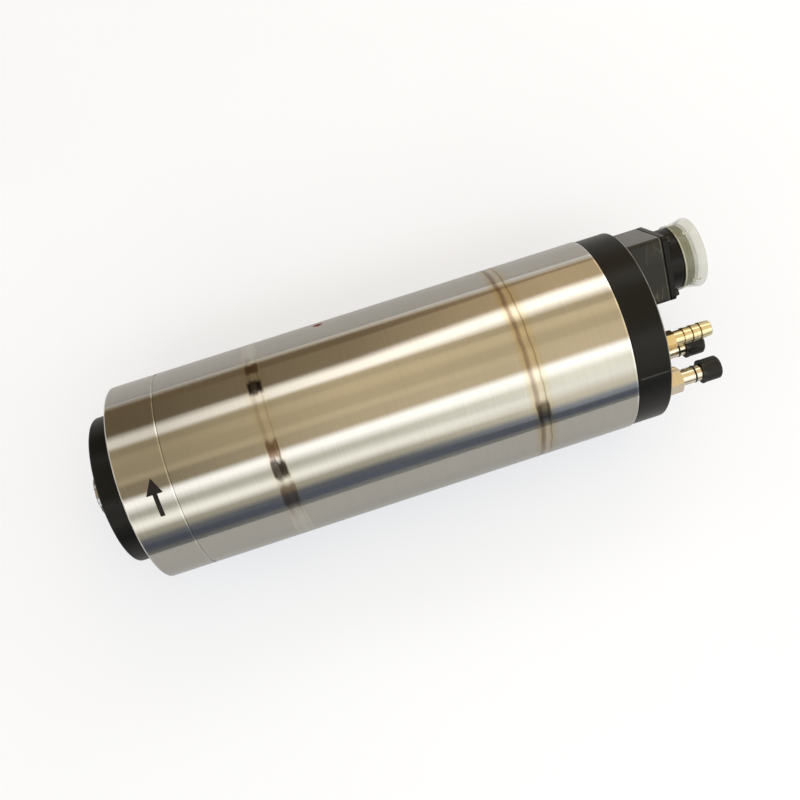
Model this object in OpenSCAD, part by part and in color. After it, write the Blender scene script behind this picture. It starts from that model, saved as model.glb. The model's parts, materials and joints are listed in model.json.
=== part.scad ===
// Water-cooled motor spindle with a collet nose, lying on its side.
// The tool axis is X, the nose points to -X, and the origin is the middle of the collet's front face.

/* [Barrel] */
// Outside diameter of the ground barrel
barrel_d = 120; // [116:1:132]
// Length of steel from the barrel's front rim to the rear cover
barrel_l = 293; // [285:1:340]
// Length of the front housing's outer ring
ring_l = 28.5; // [27:0.5:32]
// Width and depth of the relief at the seam behind the front ring
seam = 0.6; // [0.3:0.1:1]
// Chamfer on the ground outer edges
edge = 0.8; // [0.4:0.1:1.2]

/* [Cooling jacket] */
// From the barrel's front rim to the middle of the front weld
front_weld_at = 86.5; // [82:0.5:92]
// From the barrel's rear end to the middle of the rear weld
rear_weld_back = 56.5; // [51:0.5:68]
// Width of each weld at the surface
weld_w = 9; // [7:0.5:11]
// Depth of each weld
weld_depth = 3; // [2:0.5:4]
// Wall of the jacket sleeve
sleeve_wall = 6; // [5:0.5:6.5]
// Depth of the coolant rings cut in the barrel
coolant_depth = 4; // [3:0.5:4.5]
// Wall between the coolant channels and the stator
inner_wall = 5; // [4:0.5:7]
// Number of coolant rings
coolant_rings = 9; // [5:1:10]
// Width of the land between two coolant rings
coolant_land = 4; // [3:0.5:6]
// Diameter of the drilled coolant ways
coolant_hole_d = 3.5; // [2.5:0.5:3.5]
// Diameter of the plug screw in the jacket
plug_d = 5.5; // [4:0.5:7]
// From the barrel's front rim to the plug screw
plug_at = 129.5; // [105:0.5:215]
// Turn of the plug screw from the top of the barrel
plug_turn = -59; // [-80:1:80]

/* [Front cover] */
// Diameter of the black front cover
cover_d = 91; // [86:1:94]
// Thickness of the front cover in front of the ring
cover_l = 15.5; // [14:0.5:20]
// Radius of the cover's front rim
cover_round = 1.2; // [0.8:0.1:3]
// How far the nose stands out of the cover
nose_out = 12; // [11:0.5:14]
// Length of the cover's spigot in the bearing bore
cover_spigot_l = 6; // [5:0.5:8]
// Number of screws in the cover, and in the front housing
front_screws = 6; // [4:1:8]

/* [Nose and collet] */
// Outside diameter of the collet nut
nut_d = 28; // [27:0.5:29]
// Length of the collet nut
nut_l = 19; // [18:0.5:19.5]
// Number of spanner slots in the nut
nut_slots = 8; // [4:1:10]
// Thread diameter of the nose
nose_thread_d = 24; // [24:0.5:25]
// Largest diameter of the collet
collet_d = 21; // [20.5:0.1:21.2]
// Length of the collet
collet_l = 31.5; // [30:0.5:34]
// Bore of the collet
tool_d = 10; // [3:0.5:10]
// Half angle of the collet's long taper
collet_taper = 8; // [7:0.5:8.5]
// Width of the collet's slots
collet_slot_w = 1.2; // [0.8:0.1:1.5]
// Slots cut from each end of the collet
collet_slots = 4; // [3:1:6]

/* [Front bearings] */
// Bore of the front bearings
front_bore_d = 30; // [28:1:32]
// Outside diameter of the front bearings
front_od = 55; // [53:1:58]
// Width of one front bearing
front_w = 13; // [12:0.5:14]
// Width of the spacers between the front bearings
front_gap = 6; // [4:0.5:7]
// Ball diameter of the front bearings
front_ball_d = 7; // [6:0.1:7.4]
// Balls in one front bearing
front_balls = 14; // [10:1:14]

/* [Rear bearings] */
// Bore of the rear bearings
rear_bore_d = 25; // [23:1:27]
// Outside diameter of the rear bearings
rear_od = 47; // [45:1:48]
// Width of one rear bearing
rear_w = 12; // [11:0.5:12.5]
// Width of the spacers between the rear bearings
rear_gap = 2; // [1.5:0.5:3]
// Ball diameter of the rear bearings
rear_ball_d = 6.4; // [5.5:0.1:6.6]
// Balls in one rear bearing
rear_balls = 13; // [9:1:13]

/* [Motor] */
// From the middle of a weld to the end of the stator core
core_margin = 19; // [18:0.5:30]
// Outside diameter of the rotor core
rotor_d = 52; // [48:0.5:54]
// Radial gap between rotor and stator
air_gap = 0.5; // [0.4:0.1:0.8]
// Length of the windings past each end of the core
winding_l = 22; // [16:0.5:23]
// Slots in the stator core
stator_slots = 24; // [12:1:24]
// Bars in the rotor core
rotor_bars = 20; // [10:1:24]
// Diameter of a rotor bar
bar_d = 3.6; // [3:0.1:4]
// Length of each end ring of the rotor cage
end_ring_l = 8; // [6:0.5:10]
// Length of each balance ring
balance_l = 10; // [8:0.5:12]
// Diameter of each balance ring
balance_d = 44; // [38:0.5:48]

/* [Rear end] */
// Length of the black rear cover
rear_cover_l = 20.5; // [19:0.5:26]
// How much smaller the rear cover's radius is than the barrel's, so that a clamp never bears on it
rear_cover_step = 0.6; // [0.6:0.1:1]
// Thickness of the rear bearing housing's flange
flange_l = 8; // [7:0.5:10]
// Wall of the rear bearing housing round the bearings
hub_wall = 4.5; // [3.5:0.5:6]
// Turn of the rear cover's fittings round the axis
rear_turn = 33; // [0:1:90]
// Screws in the rear cover
rear_screws = 6; // [6:1:6]
// Thickness of the rear cover's gasket
rear_gasket = 0.5; // [0.4:0.1:1]

/* [Power socket] */
// From the spindle axis to the middle of the socket
socket_at = 33.3; // [32.5:0.1:34.5]
// Width of the socket box across the spindle's radius
box_w = 38; // [37:0.5:40]
// Width of the socket box along the spindle's radius
box_h = 40; // [38:0.5:41]
// Length of the socket box
box_l = 21; // [18:0.5:26]
// Radius of the socket box's long edges
box_round = 2.5; // [1.5:0.5:4]
// Corner radius of the socket flange
flange_round = 3.5; // [2.5:0.5:5]
// Thickness of the socket flange
socket_flange_l = 3; // [2.5:0.5:4]
// Thickness of the gaskets of the box and the socket
box_gasket = 0.8; // [0.5:0.1:1.2]
// How far the socket's flange stands out past the sides of its box
socket_lip = 1; // [0.5:0.1:1.5]
// From the socket's round shell to the edge of its flange
shell_rim = 1; // [0.4:0.1:1.2]
// Length of the round shell behind its flange
shell_l = 14.5; // [13:0.5:18]
// Wall of the round shell
shell_wall = 2.6; // [2:0.1:3.2]
// Diameter of the insulator
insert_d = 24; // [22:0.5:25]
// Diameter of the circle that the contact pins stand on
pin_circle_d = 12; // [11:0.5:12.5]
// Diameter of a contact pin
pin_d = 3; // [2:0.1:3.4]
// Diameter of a motor lead
lead_d = 2.6; // [2:0.1:2.8]
// How much of the shell stays bare below the cap
cap_from = 8.5; // [7:0.5:10]
// Wall of the socket cap
cap_wall = 0.8; // [0.7:0.1:1.2]
// Length of the socket cap with its flared rim
cap_l = 12.8; // [11:0.1:15]
// Length of the flared end
cap_flare_l = 8; // [6:0.1:9]
// How far the rim flares out
cap_flare = 1.5; // [0.8:0.1:2]
// Depth of the dish in the cap's end
cap_dish = 3.8; // [3:0.1:4.5]

/* [Ports] */
// Place of the coolant inlet across from the socket
inlet_a = -28; // [-30:0.5:-27]
// Place of the coolant inlet beside the socket
inlet_b = 38; // [36:0.5:39]
// Place of the coolant outlet across from the socket
outlet_a = -17; // [-18:0.5:-16]
// Place of the coolant outlet beside the socket
outlet_b = 19.5; // [19:0.5:21]
// Place of the seal air barb across from the socket
barb_a = -2; // [-4:0.5:0]
// Place of the seal air barb beside the socket
barb_b = 39; // [37:0.5:40]
// Thread diameter of the ports
port_thread_d = 9.7; // [8:0.1:10]
// Length of thread in the rear cover
port_thread_l = 8; // [6:0.5:9]
// Width across the flats of the port hexagon
port_hex = 14; // [12:0.5:15]
// Length of the port hexagon
port_hex_l = 9.5; // [7:0.5:10]
// Diameter of the neck behind the hexagon
port_neck_d = 10; // [9:0.5:11]
// Length of the neck
port_neck_l = 13; // [11:0.5:14]
// Distance of the O-ring groove from the neck's end
port_groove_back = 4.6; // [2.4:0.1:6]
// Diameter of the spout inside the ribbed cap
spout_d = 7.6; // [6:0.1:8]
// Length of the spout
spout_l = 9.5; // [8:0.5:10]
// Through bore of the ports
port_bore_d = 4.5; // [3:0.5:5]
// Thickness of the sealing washers
washer_l = 1.5; // [1:0.1:2]
// Outside diameter of a ribbed cap
dust_cap_d = 14; // [13:0.1:15]
// Length of a ribbed cap
dust_cap_l = 11.5; // [11.5:0.5:14]
// Ribs round a ribbed cap
dust_ribs = 18; // [10:1:24]
// Thread diameter of the barb
barb_thread_d = 7.7; // [7:0.1:8]
// Width across the flats of the barb's hexagon
barb_hex = 10; // [10:0.5:12]
// Length of the barb's hexagon
barb_hex_l = 9.5; // [7:0.5:11]
// Turn of the barb's hexagon, which lays a flat towards the socket's side
barb_hex_turn = 9; // [0:1:30]
// Length of the plain part between the hexagon and the ridges
barb_plain_l = 5.5; // [4:0.5:7]
// Largest diameter of the barb's ridges
barb_d = 10; // [9:0.1:10]
// Height of the step of a ridge
barb_tooth = 0.45; // [0.3:0.05:0.7]
// Length of one ridge
barb_step = 5.2; // [4:0.1:6]
// Number of ridges
barb_ridges = 3; // [2:1:4]
// Length that the last ridge runs on past the others
barb_tip_l = 1.7; // [1:0.1:2.5]

/* [Fits] */
// Radial clearance of pieces pressed or seated in each other
seat = 0.02; // [0.01:0.01:0.04]
// Radial clearance of pieces that run in each other
run = 0.05; // [0.03:0.01:0.08]
// Clearance round the balls
ball_gap = 0.15; // [0.1:0.05:0.25]
// Clearance of pieces that pull off or pass without touching
free = 0.3; // [0.25:0.05:0.4]

/* [Hidden] */
$fn = 72;
barrel_r = barrel_d / 2;
cover_r = cover_d / 2;
rim_x = nose_out + cover_l;
seam_x = rim_x + ring_l;
steel_end_x = rim_x + barrel_l;
rear_face_x = steel_end_x + rear_gasket + rear_cover_l;
rear_cover_r = barrel_r - rear_cover_step;

front_weld_x = rim_x + front_weld_at;
rear_weld_x = steel_end_x - rear_weld_back;
weld_root = weld_w / 3;
sleeve_in_r = barrel_r - sleeve_wall;
coolant_r = sleeve_in_r - coolant_depth;
stator_r = coolant_r - inner_wall;
coolant_x = front_weld_x + weld_w / 2;
coolant_end_x = rear_weld_x - weld_w / 2;
coolant_pitch = (coolant_end_x - coolant_x + coolant_land) / coolant_rings;

nose_thread_r = nose_thread_d / 2;
nut_x = 0.5;
nut_end_x = nut_x + nut_l;
collet_r = collet_d / 2;
collet_flange_l = 1.6;
collet_flange_r = collet_r - 1.6;
collet_groove_r = collet_r - 2.5;
collet_groove_end = 3.2;
collet_shoulder_x = collet_groove_end + (collet_r - collet_groove_r) / tan(30);
nut_lip_r = collet_groove_r + free;
nut_lip_x = collet_flange_l + 0.4;
nut_cone_x = collet_shoulder_x + 0.35;
nose_face_x = nut_cone_x + free;
tool_r = tool_d / 2;
shank_room_r = 6.2;
shank_room_x = collet_l + 1.5;
shank_room_end = 58;

collar_x = nut_end_x + 1.1;
collar_r = front_bore_d / 2 + 4;
labyrinth = 0.4;
cover_bore_r = nut_d / 2 + 1.5;
bearing_1_x = rim_x + cover_spigot_l;
bearing_2_x = bearing_1_x + front_w + front_gap;
front_end_x = bearing_2_x + front_w;
housing_end_x = front_end_x + 5;
front_pitch_r = (front_bore_d + front_od) / 4;
front_bore_r = front_bore_d / 2;
front_or = front_od / 2;
front_nut_l = 8;
front_nut_r = front_pitch_r + 0.5;

core_x = front_weld_x + core_margin;
core_end_x = rear_weld_x - core_margin;
core_l = core_end_x - core_x;
rotor_r = rotor_d / 2;
stator_in_r = rotor_r + air_gap;
winding_in_r = stator_in_r + 2;
winding_out_r = stator_r - 3;
slot_w = 3.4;
rotor_seat_r = front_bore_r - seat;

flange_x = steel_end_x - flange_l;
flange_r = barrel_r - 3;
rear_or = rear_od / 2;
rear_bore_r = rear_bore_d / 2;
rear_pitch_r = (rear_bore_d + rear_od) / 4;
hub_r = rear_or + hub_wall;
rear_nut_l = 7;
rear_nut_r = rear_pitch_r - 1;
rear_end_x = steel_end_x - 14;
bearing_4_x = rear_end_x - rear_w;
bearing_3_x = bearing_4_x - rear_gap - rear_w;
preload_ring_l = 3;
preload_ring_x = bearing_3_x - preload_ring_l;
spring_l = 2.4;
spring_t = 0.8;
hub_lip_l = 4;
hub_collar_l = 6;
hub_thread_l = 6;
rear_hole_l = 22;
hub_x = preload_ring_x - spring_l - hub_lip_l;
shaft_end_x = rear_end_x + rear_nut_l + 2.8;

m5 = 5;
m4 = 4;
m25 = 2.5;
front_screw_r = (cover_r + barrel_r) / 2;
cover_screw_r = (front_or + cover_r) / 2;
rear_screw_r = barrel_r - 7.5;
hub_screw_r = barrel_r - 8.5;
hub_screw_turns = [-60, 0, 60, 180];
rear_screw_turn = 30;
head_room = 0.3;
coolant_way_r = coolant_r + coolant_hole_d / 2 - 0.3;

lead_hole_r = pin_circle_d / 2 + lead_d / 2 + 0.7;
box_x = rear_face_x + box_gasket;
socket_x = box_x + box_l + box_gasket;
socket_flange_w = box_w + 2 * socket_lip;
shell_x = socket_x + socket_flange_l;
shell_end_x = shell_x + shell_l;
shell_r = box_h / 2 - shell_rim;
shell_in_r = shell_r - shell_wall;
insert_r = insert_d / 2;
socket_neck_r = insert_r + 1.4;
insert_x = box_x + box_l / 2;
insert_end_x = shell_x + 3.5;
pin_end_x = insert_end_x + 5;
pin_x = insert_x - 4;
socket_screw_inset = 3.7;
socket_screw_a = box_h / 2 - socket_screw_inset;
socket_screw_b = socket_flange_w / 2 - socket_screw_inset;
cavity_long = box_h - 10;
cavity_wide = box_w - 10;
boss_w = 9;
cap_lip_l = 0.9;
cap_x = shell_x + cap_from;
cap_r = shell_r + free + cap_wall;
cap_end_x = cap_x + cap_l;
cap_flare_x = cap_end_x - cap_flare_l;
cap_web_x = cap_end_x - cap_dish;
cap_rim_r = cap_r + cap_flare;
cap_web_r = cap_r + cap_flare * (cap_web_x - cap_flare_x) / (cap_flare_l - cap_lip_l);

port_x = rear_face_x + washer_l;
port_neck_x = port_x + port_hex_l;
port_neck_end_x = port_neck_x + port_neck_l;
port_groove_x = port_neck_end_x - port_groove_back;
port_groove_l = 1.2;
port_groove_depth = 0.7;
dust_cap_x = port_neck_end_x + free;
barb_neck_x = port_x + barb_hex_l;
barb_ridge_x = barb_neck_x + barb_plain_l;
barb_tip_x = barb_ridge_x + (barb_ridges - 1) * barb_step;
barb_end_x = barb_tip_x + barb_step + barb_tip_l;
inlet_way = coolant_way_r / norm([inlet_a, inlet_b]);
outlet_way_b = outlet_b + 1;
outlet_way_a = -sqrt(pow(coolant_way_r, 2) - pow(outlet_way_b, 2));
outlet_hole_a = outlet_a - 1.5;
way_w = coolant_hole_d + 1;

function collet_taper_r(x) = collet_r - (x - collet_shoulder_x) * tan(collet_taper);

// Turns a profile of [station, radius] points about the tool axis
module turned(points) {
    rotate([0, 90, 0])
        rotate_extrude()
            polygon([for (p = points) [p[1], p[0]]]);
}

// Stands a shape that was drawn along Z on the tool axis at a station
module along_x(x) {
    translate([x, 0, 0])
        rotate([0, 90, 0])
            children();
}

module rod(x, l, r) {
    along_x(x)
        cylinder(h = l, r = r);
}

module tube(x, l, r_out, r_in) {
    difference() {
        rod(x, l, r_out);
        rod(x - 1, l + 2, r_in);
    }
}

// Repeats a shape round the tool axis
module around(n, r, turn = 0) {
    for (i = [0 : n - 1])
        rotate([turn + i * 360 / n, 0, 0])
            translate([0, r, 0])
                children();
}

// Places a shape on the rear face, a across from the socket's side and b beside it
module at_rear(a, b) {
    rotate([rear_turn, 0, 0])
        translate([0, a, b])
            children();
}

// Socket-head screw along +X with the underside of its head at x
module cap_screw(x, d, l) {
    difference() {
        union() {
            rod(x - d, d, 0.875 * d);
            rod(x - 0.01, l + 0.01, d / 2);
        }
        along_x(x - d - 0.5)
            cylinder(h = d * 0.6 + 0.5, r = d * 0.46, $fn = 6);
    }
}

// Hole and counterbore for such a screw, with the head flush at the face
module cap_screw_hole(face_x, d, l) {
    rod(face_x - 1, d + 1 + head_room, 0.875 * d + head_room);
    rod(face_x, l, d / 2 + head_room / 2);
}

module rounded_rect(w, h, r) {
    square([w - 2 * r, h], center = true);
    square([w, h - 2 * r], center = true);
    for (i = [-1, 1])
        for (j = [-1, 1])
            translate([i * (w / 2 - r), j * (h / 2 - r)])
                circle(r = r);
}

// Square block round the socket's axis, from station x
module socket_block(x, l, along_radius, across, r) {
    at_rear(socket_at, 0)
        along_x(x)
            linear_extrude(height = l)
                rounded_rect(across, along_radius, r);
}

module at_socket_corners() {
    for (i = [-1, 1])
        for (j = [-1, 1])
            at_rear(socket_at + i * socket_screw_a, j * socket_screw_b)
                children();
}

module at_pins() {
    for (i = [0 : 3])
        at_rear(socket_at + pin_circle_d / 2 * cos(45 + 90 * i), pin_circle_d / 2 * sin(45 + 90 * i))
            children();
}

// Front end

module front_cover() {
    color([0.12, 0.12, 0.12])
        difference() {
            union() {
                along_x(nose_out)
                    rotate_extrude() {
                        square([cover_r - cover_round, cover_l]);
                        translate([0, cover_round])
                            square([cover_r, cover_l - cover_round]);
                        translate([cover_r - cover_round, cover_round])
                            circle(r = cover_round);
                    }
                rod(rim_x - 1, cover_spigot_l + 1, front_or - seat);
            }
            rod(nose_out - 1, cover_l + 1, cover_bore_r);
            rod(collar_x - labyrinth, bearing_1_x, collar_r + labyrinth);
            turned([[nose_out - 1, 0], [nose_out - 1, cover_bore_r + 2.5], [nose_out + 1.5, cover_bore_r],
                [nose_out + 1.5, 0]]);
            tube(rim_x - 1.8, 2, cover_screw_r - 3, cover_screw_r - 5.4);
            around(front_screws, cover_screw_r)
                cap_screw_hole(nose_out, m4, cover_l + 2);
        }
}

module front_cover_screws() {
    color("dimgray")
        around(front_screws, cover_screw_r)
            cap_screw(nose_out + m4, m4, cover_l - m4 + 10);
}

module front_cover_oring() {
    color("black")
        along_x(rim_x - 0.9)
            rotate_extrude()
                translate([cover_screw_r - 4.2, 0])
                    circle(r = 0.85);
}

module front_housing() {
    color([0.72, 0.7, 0.66])
        difference() {
            turned([[rim_x, front_or], [rim_x, barrel_r - edge], [rim_x + edge, barrel_r],
                [seam_x - seam, barrel_r], [seam_x - seam, barrel_r - seam], [seam_x, barrel_r - seam],
                [seam_x, stator_r - seat], [housing_end_x - 1, stator_r - seat],
                [housing_end_x, stator_r - 1], [housing_end_x, front_nut_r + 2],
                [front_end_x, front_nut_r + 2], [front_end_x, front_or]]);
            tube(seam_x + 5, 2.6, stator_r + 1, stator_r - 2);
            around(front_screws, front_screw_r, 180 / front_screws)
                cap_screw_hole(rim_x, m5, ring_l + 1);
            around(front_screws, cover_screw_r)
                rod(rim_x - 1, 13, m4 / 2 + seat);
        }
}

module front_housing_screws() {
    color("dimgray")
        around(front_screws, front_screw_r, 180 / front_screws)
            cap_screw(rim_x + m5, m5, ring_l + 7);
}

module front_housing_oring() {
    color("black")
        along_x(seam_x + 6.3)
            rotate_extrude()
                translate([stator_r - 1.05, 0])
                    circle(r = 0.9);
}

// Barrel and its welded jacket

module housing_barrel() {
    color([0.7, 0.68, 0.63])
        difference() {
            turned([[seam_x, stator_r], [seam_x, barrel_r - seam / 2], [seam_x + seam / 2, barrel_r],
                [front_weld_x - weld_w / 2, barrel_r], [front_weld_x - weld_root / 2, barrel_r - weld_depth],
                [front_weld_x, barrel_r - weld_depth], [front_weld_x, sleeve_in_r],
                [rear_weld_x, sleeve_in_r], [rear_weld_x, barrel_r - weld_depth],
                [rear_weld_x + weld_root / 2, barrel_r - weld_depth], [rear_weld_x + weld_w / 2, barrel_r],
                [steel_end_x, barrel_r], [steel_end_x, flange_r], [flange_x, flange_r],
                [flange_x, stator_r]]);
            for (i = [0 : coolant_rings - 1])
                tube(coolant_x + i * coolant_pitch, coolant_pitch - coolant_land, barrel_r, coolant_r);
            // The way from each coolant ring to the next, on alternate sides
            for (i = [1 : coolant_rings - 1])
                rotate([rear_turn + (i % 2 == 0 ? 140 : -40), 0, 0])
                    translate([coolant_x + i * coolant_pitch - coolant_land - 1, coolant_r + 0.5, -6])
                        cube([coolant_land + 2, coolant_depth + 1, 12]);
            around(front_screws, front_screw_r, 180 / front_screws)
                rod(seam_x - 1, 14, m5 / 2 + seat);
            around(rear_screws, rear_screw_r, rear_turn + rear_screw_turn)
                rod(steel_end_x - rear_hole_l, rear_hole_l + 2, m4 / 2 + seat);
            for (t = hub_screw_turns)
                around(1, hub_screw_r, rear_turn + t)
                    rod(steel_end_x - rear_hole_l, rear_hole_l + 2, m4 / 2 + seat);
            at_rear(inlet_a * inlet_way, inlet_b * inlet_way)
                rod(coolant_end_x - 2, steel_end_x - coolant_end_x + 3, coolant_hole_d / 2);
            at_rear(outlet_way_a, outlet_way_b)
                rod(coolant_end_x - 2, steel_end_x - coolant_end_x + 3, coolant_hole_d / 2);
        }
}

module weld_ring(x) {
    turned([[x - weld_w / 2, barrel_r], [x - weld_root / 2, barrel_r - weld_depth],
        [x + weld_root / 2, barrel_r - weld_depth], [x + weld_w / 2, barrel_r]]);
}

module front_weld() {
    color([0.62, 0.55, 0.45])
        weld_ring(front_weld_x);
}

module rear_weld() {
    color([0.62, 0.55, 0.45])
        weld_ring(rear_weld_x);
}

// The plug's seat leaves the surface square to the barrel's radius
module at_plug() {
    rotate([plug_turn, 0, 0])
        translate([rim_x + plug_at, 0, 0])
            children();
}

module jacket_sleeve() {
    color([0.74, 0.72, 0.67])
        difference() {
            turned([[front_weld_x, sleeve_in_r + seat], [front_weld_x, barrel_r - weld_depth],
                [front_weld_x + weld_root / 2, barrel_r - weld_depth], [front_weld_x + weld_w / 2, barrel_r],
                [rear_weld_x - weld_w / 2, barrel_r], [rear_weld_x - weld_root / 2, barrel_r - weld_depth],
                [rear_weld_x, barrel_r - weld_depth], [rear_weld_x, sleeve_in_r + seat]]);
            at_plug()
                translate([0, 0, sleeve_in_r - 1])
                    cylinder(h = sleeve_wall + 2, r = plug_d / 2 + seat);
        }
}

module jacket_plug() {
    color("firebrick")
        at_plug()
            difference() {
                translate([0, 0, sleeve_in_r + seat])
                    cylinder(h = sleeve_wall - 0.8, r = plug_d / 2);
                translate([0, 0, barrel_r - 3])
                    cylinder(h = 4, r = plug_d * 0.3, $fn = 6);
            }
}

// Motor

module stator_core() {
    color([0.45, 0.45, 0.47])
        difference() {
            tube(core_x, core_l, stator_r - seat, stator_in_r);
            around(stator_slots, 0)
                translate([core_x - 1, 0, 0]) {
                    translate([0, winding_in_r, -slot_w / 2 - free])
                        cube([core_l + 2, winding_out_r - winding_in_r - 2, slot_w + 2 * free]);
                    translate([0, 1, -1])
                        cube([core_l + 2, winding_in_r, 2]);
                }
        }
}

module winding_head(x) {
    translate([x + winding_l / 2, 0, 0])
        rotate([0, 90, 0])
            rotate_extrude()
                translate([(winding_in_r + winding_out_r) / 2, 0])
                    rounded_rect(winding_out_r - winding_in_r - 2 * free, winding_l, 4);
}

module stator_windings() {
    color([0.72, 0.4, 0.2])
        union() {
            winding_head(core_x - winding_l);
            winding_head(core_end_x);
            around(stator_slots, 0)
                translate([core_x - 2, winding_in_r + free, -slot_w / 2])
                    cube([core_l + 4, winding_out_r - winding_in_r - 2 - 2 * free, slot_w]);
        }
}

module bar_holes(r, x, l) {
    around(rotor_bars, rotor_r - bar_d / 2 - 0.8)
        rod(x, l, r);
}

module rotor_core() {
    color([0.5, 0.5, 0.52])
        difference() {
            tube(core_x, core_l, rotor_r, front_bore_r);
            bar_holes(bar_d / 2 + seat, core_x - 1, core_l + 2);
        }
}

module rotor_cage() {
    color([0.8, 0.55, 0.3])
        union() {
            bar_holes(bar_d / 2, core_x - 1, core_l + 2);
            tube(core_x - end_ring_l, end_ring_l, rotor_r - 0.6, rotor_r - 7);
            tube(core_end_x, end_ring_l, rotor_r - 0.6, rotor_r - 7);
        }
}

module balance_rings() {
    color([0.65, 0.65, 0.65])
        for (x = [core_x - winding_l - balance_l, core_end_x + end_ring_l + 2])
            difference() {
                tube(x, balance_l, balance_d / 2, front_bore_r);
                around(8, balance_d / 2 - 3, 22.5)
                    rod(x - 1, balance_l / 2 + 1, 1.6);
            }
}

// Bearings

module outer_ring(x, w, out_r, pitch_r, ball_r) {
    land_r = pitch_r + ball_r * 0.6;
    difference() {
        turned([[x, land_r], [x, out_r - 0.6 - seat], [x + 0.6, out_r - seat], [x + w - 0.6, out_r - seat],
            [x + w, out_r - 0.6 - seat], [x + w, land_r + 0.8], [x + w * 0.62, land_r]]);
        along_x(x + w / 2)
            rotate_extrude()
                translate([pitch_r, 0])
                    circle(r = ball_r + ball_gap);
    }
}

module inner_ring(x, w, bore_r, pitch_r, ball_r) {
    land_r = pitch_r - ball_r * 0.6;
    difference() {
        turned([[x, bore_r + 0.6], [x + 0.6, bore_r], [x + w - 0.6, bore_r], [x + w, bore_r + 0.6],
            [x + w, land_r], [x, land_r]]);
        along_x(x + w / 2)
            rotate_extrude()
                translate([pitch_r, 0])
                    circle(r = ball_r + ball_gap);
    }
}

module ball_cage(x, w, pitch_r, ball_r, n) {
    difference() {
        tube(x + w * 0.12, w * 0.76, pitch_r + ball_r * 0.35, pitch_r - ball_r * 0.35);
        around(n, pitch_r - ball_r)
            translate([x + w / 2, 0, 0])
                rotate([-90, 0, 0])
                    cylinder(h = ball_r * 2, r = ball_r + ball_gap);
    }
}

module balls(x, w, pitch_r, ball_r, n) {
    around(n, pitch_r)
        translate([x + w / 2, 0, 0])
            sphere(r = ball_r, $fn = 36);
}

module front_outer_rings() {
    color([0.8, 0.8, 0.82])
        for (x = [bearing_1_x, bearing_2_x])
            outer_ring(x, front_w, front_or, front_pitch_r, front_ball_d / 2);
}

module front_inner_rings() {
    color([0.8, 0.8, 0.82])
        for (x = [bearing_1_x, bearing_2_x])
            inner_ring(x, front_w, front_bore_r, front_pitch_r, front_ball_d / 2);
}

module front_ball_cages() {
    color([0.6, 0.45, 0.3])
        for (x = [bearing_1_x, bearing_2_x])
            ball_cage(x, front_w, front_pitch_r, front_ball_d / 2, front_balls);
}

module front_bearing_balls() {
    color([0.3, 0.3, 0.32])
        for (x = [bearing_1_x, bearing_2_x])
            balls(x, front_w, front_pitch_r, front_ball_d / 2, front_balls);
}

module front_outer_spacer() {
    color([0.6, 0.6, 0.62])
        tube(bearing_1_x + front_w, front_gap, front_or - seat, front_or - 3.4);
}

module front_inner_spacer() {
    color([0.6, 0.6, 0.62])
        tube(bearing_1_x + front_w, front_gap, front_bore_r + 3.4, front_bore_r);
}

// Round nut with four spanner slots
module locknut(x, l, r, bore_r) {
    difference() {
        tube(x, l, r, bore_r);
        around(4, r - 2)
            translate([x - 1, 0, -2])
                cube([l + 2, 5, 4]);
    }
}

module front_locknut() {
    color([0.35, 0.35, 0.36])
        locknut(front_end_x, front_nut_l, front_nut_r, front_bore_r);
}

module rear_outer_rings() {
    color([0.8, 0.8, 0.82])
        for (x = [bearing_3_x, bearing_4_x])
            outer_ring(x, rear_w, rear_or, rear_pitch_r, rear_ball_d / 2);
}

module rear_inner_rings() {
    color([0.8, 0.8, 0.82])
        for (x = [bearing_3_x, bearing_4_x])
            inner_ring(x, rear_w, rear_bore_r, rear_pitch_r, rear_ball_d / 2);
}

module rear_ball_cages() {
    color([0.6, 0.45, 0.3])
        for (x = [bearing_3_x, bearing_4_x])
            ball_cage(x, rear_w, rear_pitch_r, rear_ball_d / 2, rear_balls);
}

module rear_bearing_balls() {
    color([0.3, 0.3, 0.32])
        for (x = [bearing_3_x, bearing_4_x])
            balls(x, rear_w, rear_pitch_r, rear_ball_d / 2, rear_balls);
}

module rear_outer_spacer() {
    color([0.6, 0.6, 0.62])
        tube(bearing_3_x + rear_w, rear_gap, rear_or - seat, rear_or - 3);
}

module rear_inner_spacer() {
    color([0.6, 0.6, 0.62])
        tube(bearing_3_x + rear_w, rear_gap, rear_bore_r + 3, rear_bore_r);
}

module rear_locknut() {
    color([0.35, 0.35, 0.36])
        locknut(rear_end_x, rear_nut_l, rear_nut_r, rear_bore_r - 0.5 + seat);
}

module preload_ring() {
    color([0.6, 0.6, 0.62])
        tube(preload_ring_x, preload_ring_l, rear_or - seat, rear_or - 4);
}

// Disc spring that pushes the rear outer rings backwards
module preload_spring() {
    x = preload_ring_x - spring_l;
    color([0.5, 0.5, 0.55])
        turned([[x, rear_or - 0.2], [x + spring_t, rear_or - 0.2], [x + spring_l, rear_or - 3.6],
            [x + spring_l - spring_t, rear_or - 3.6]]);
}

// Rotor

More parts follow.
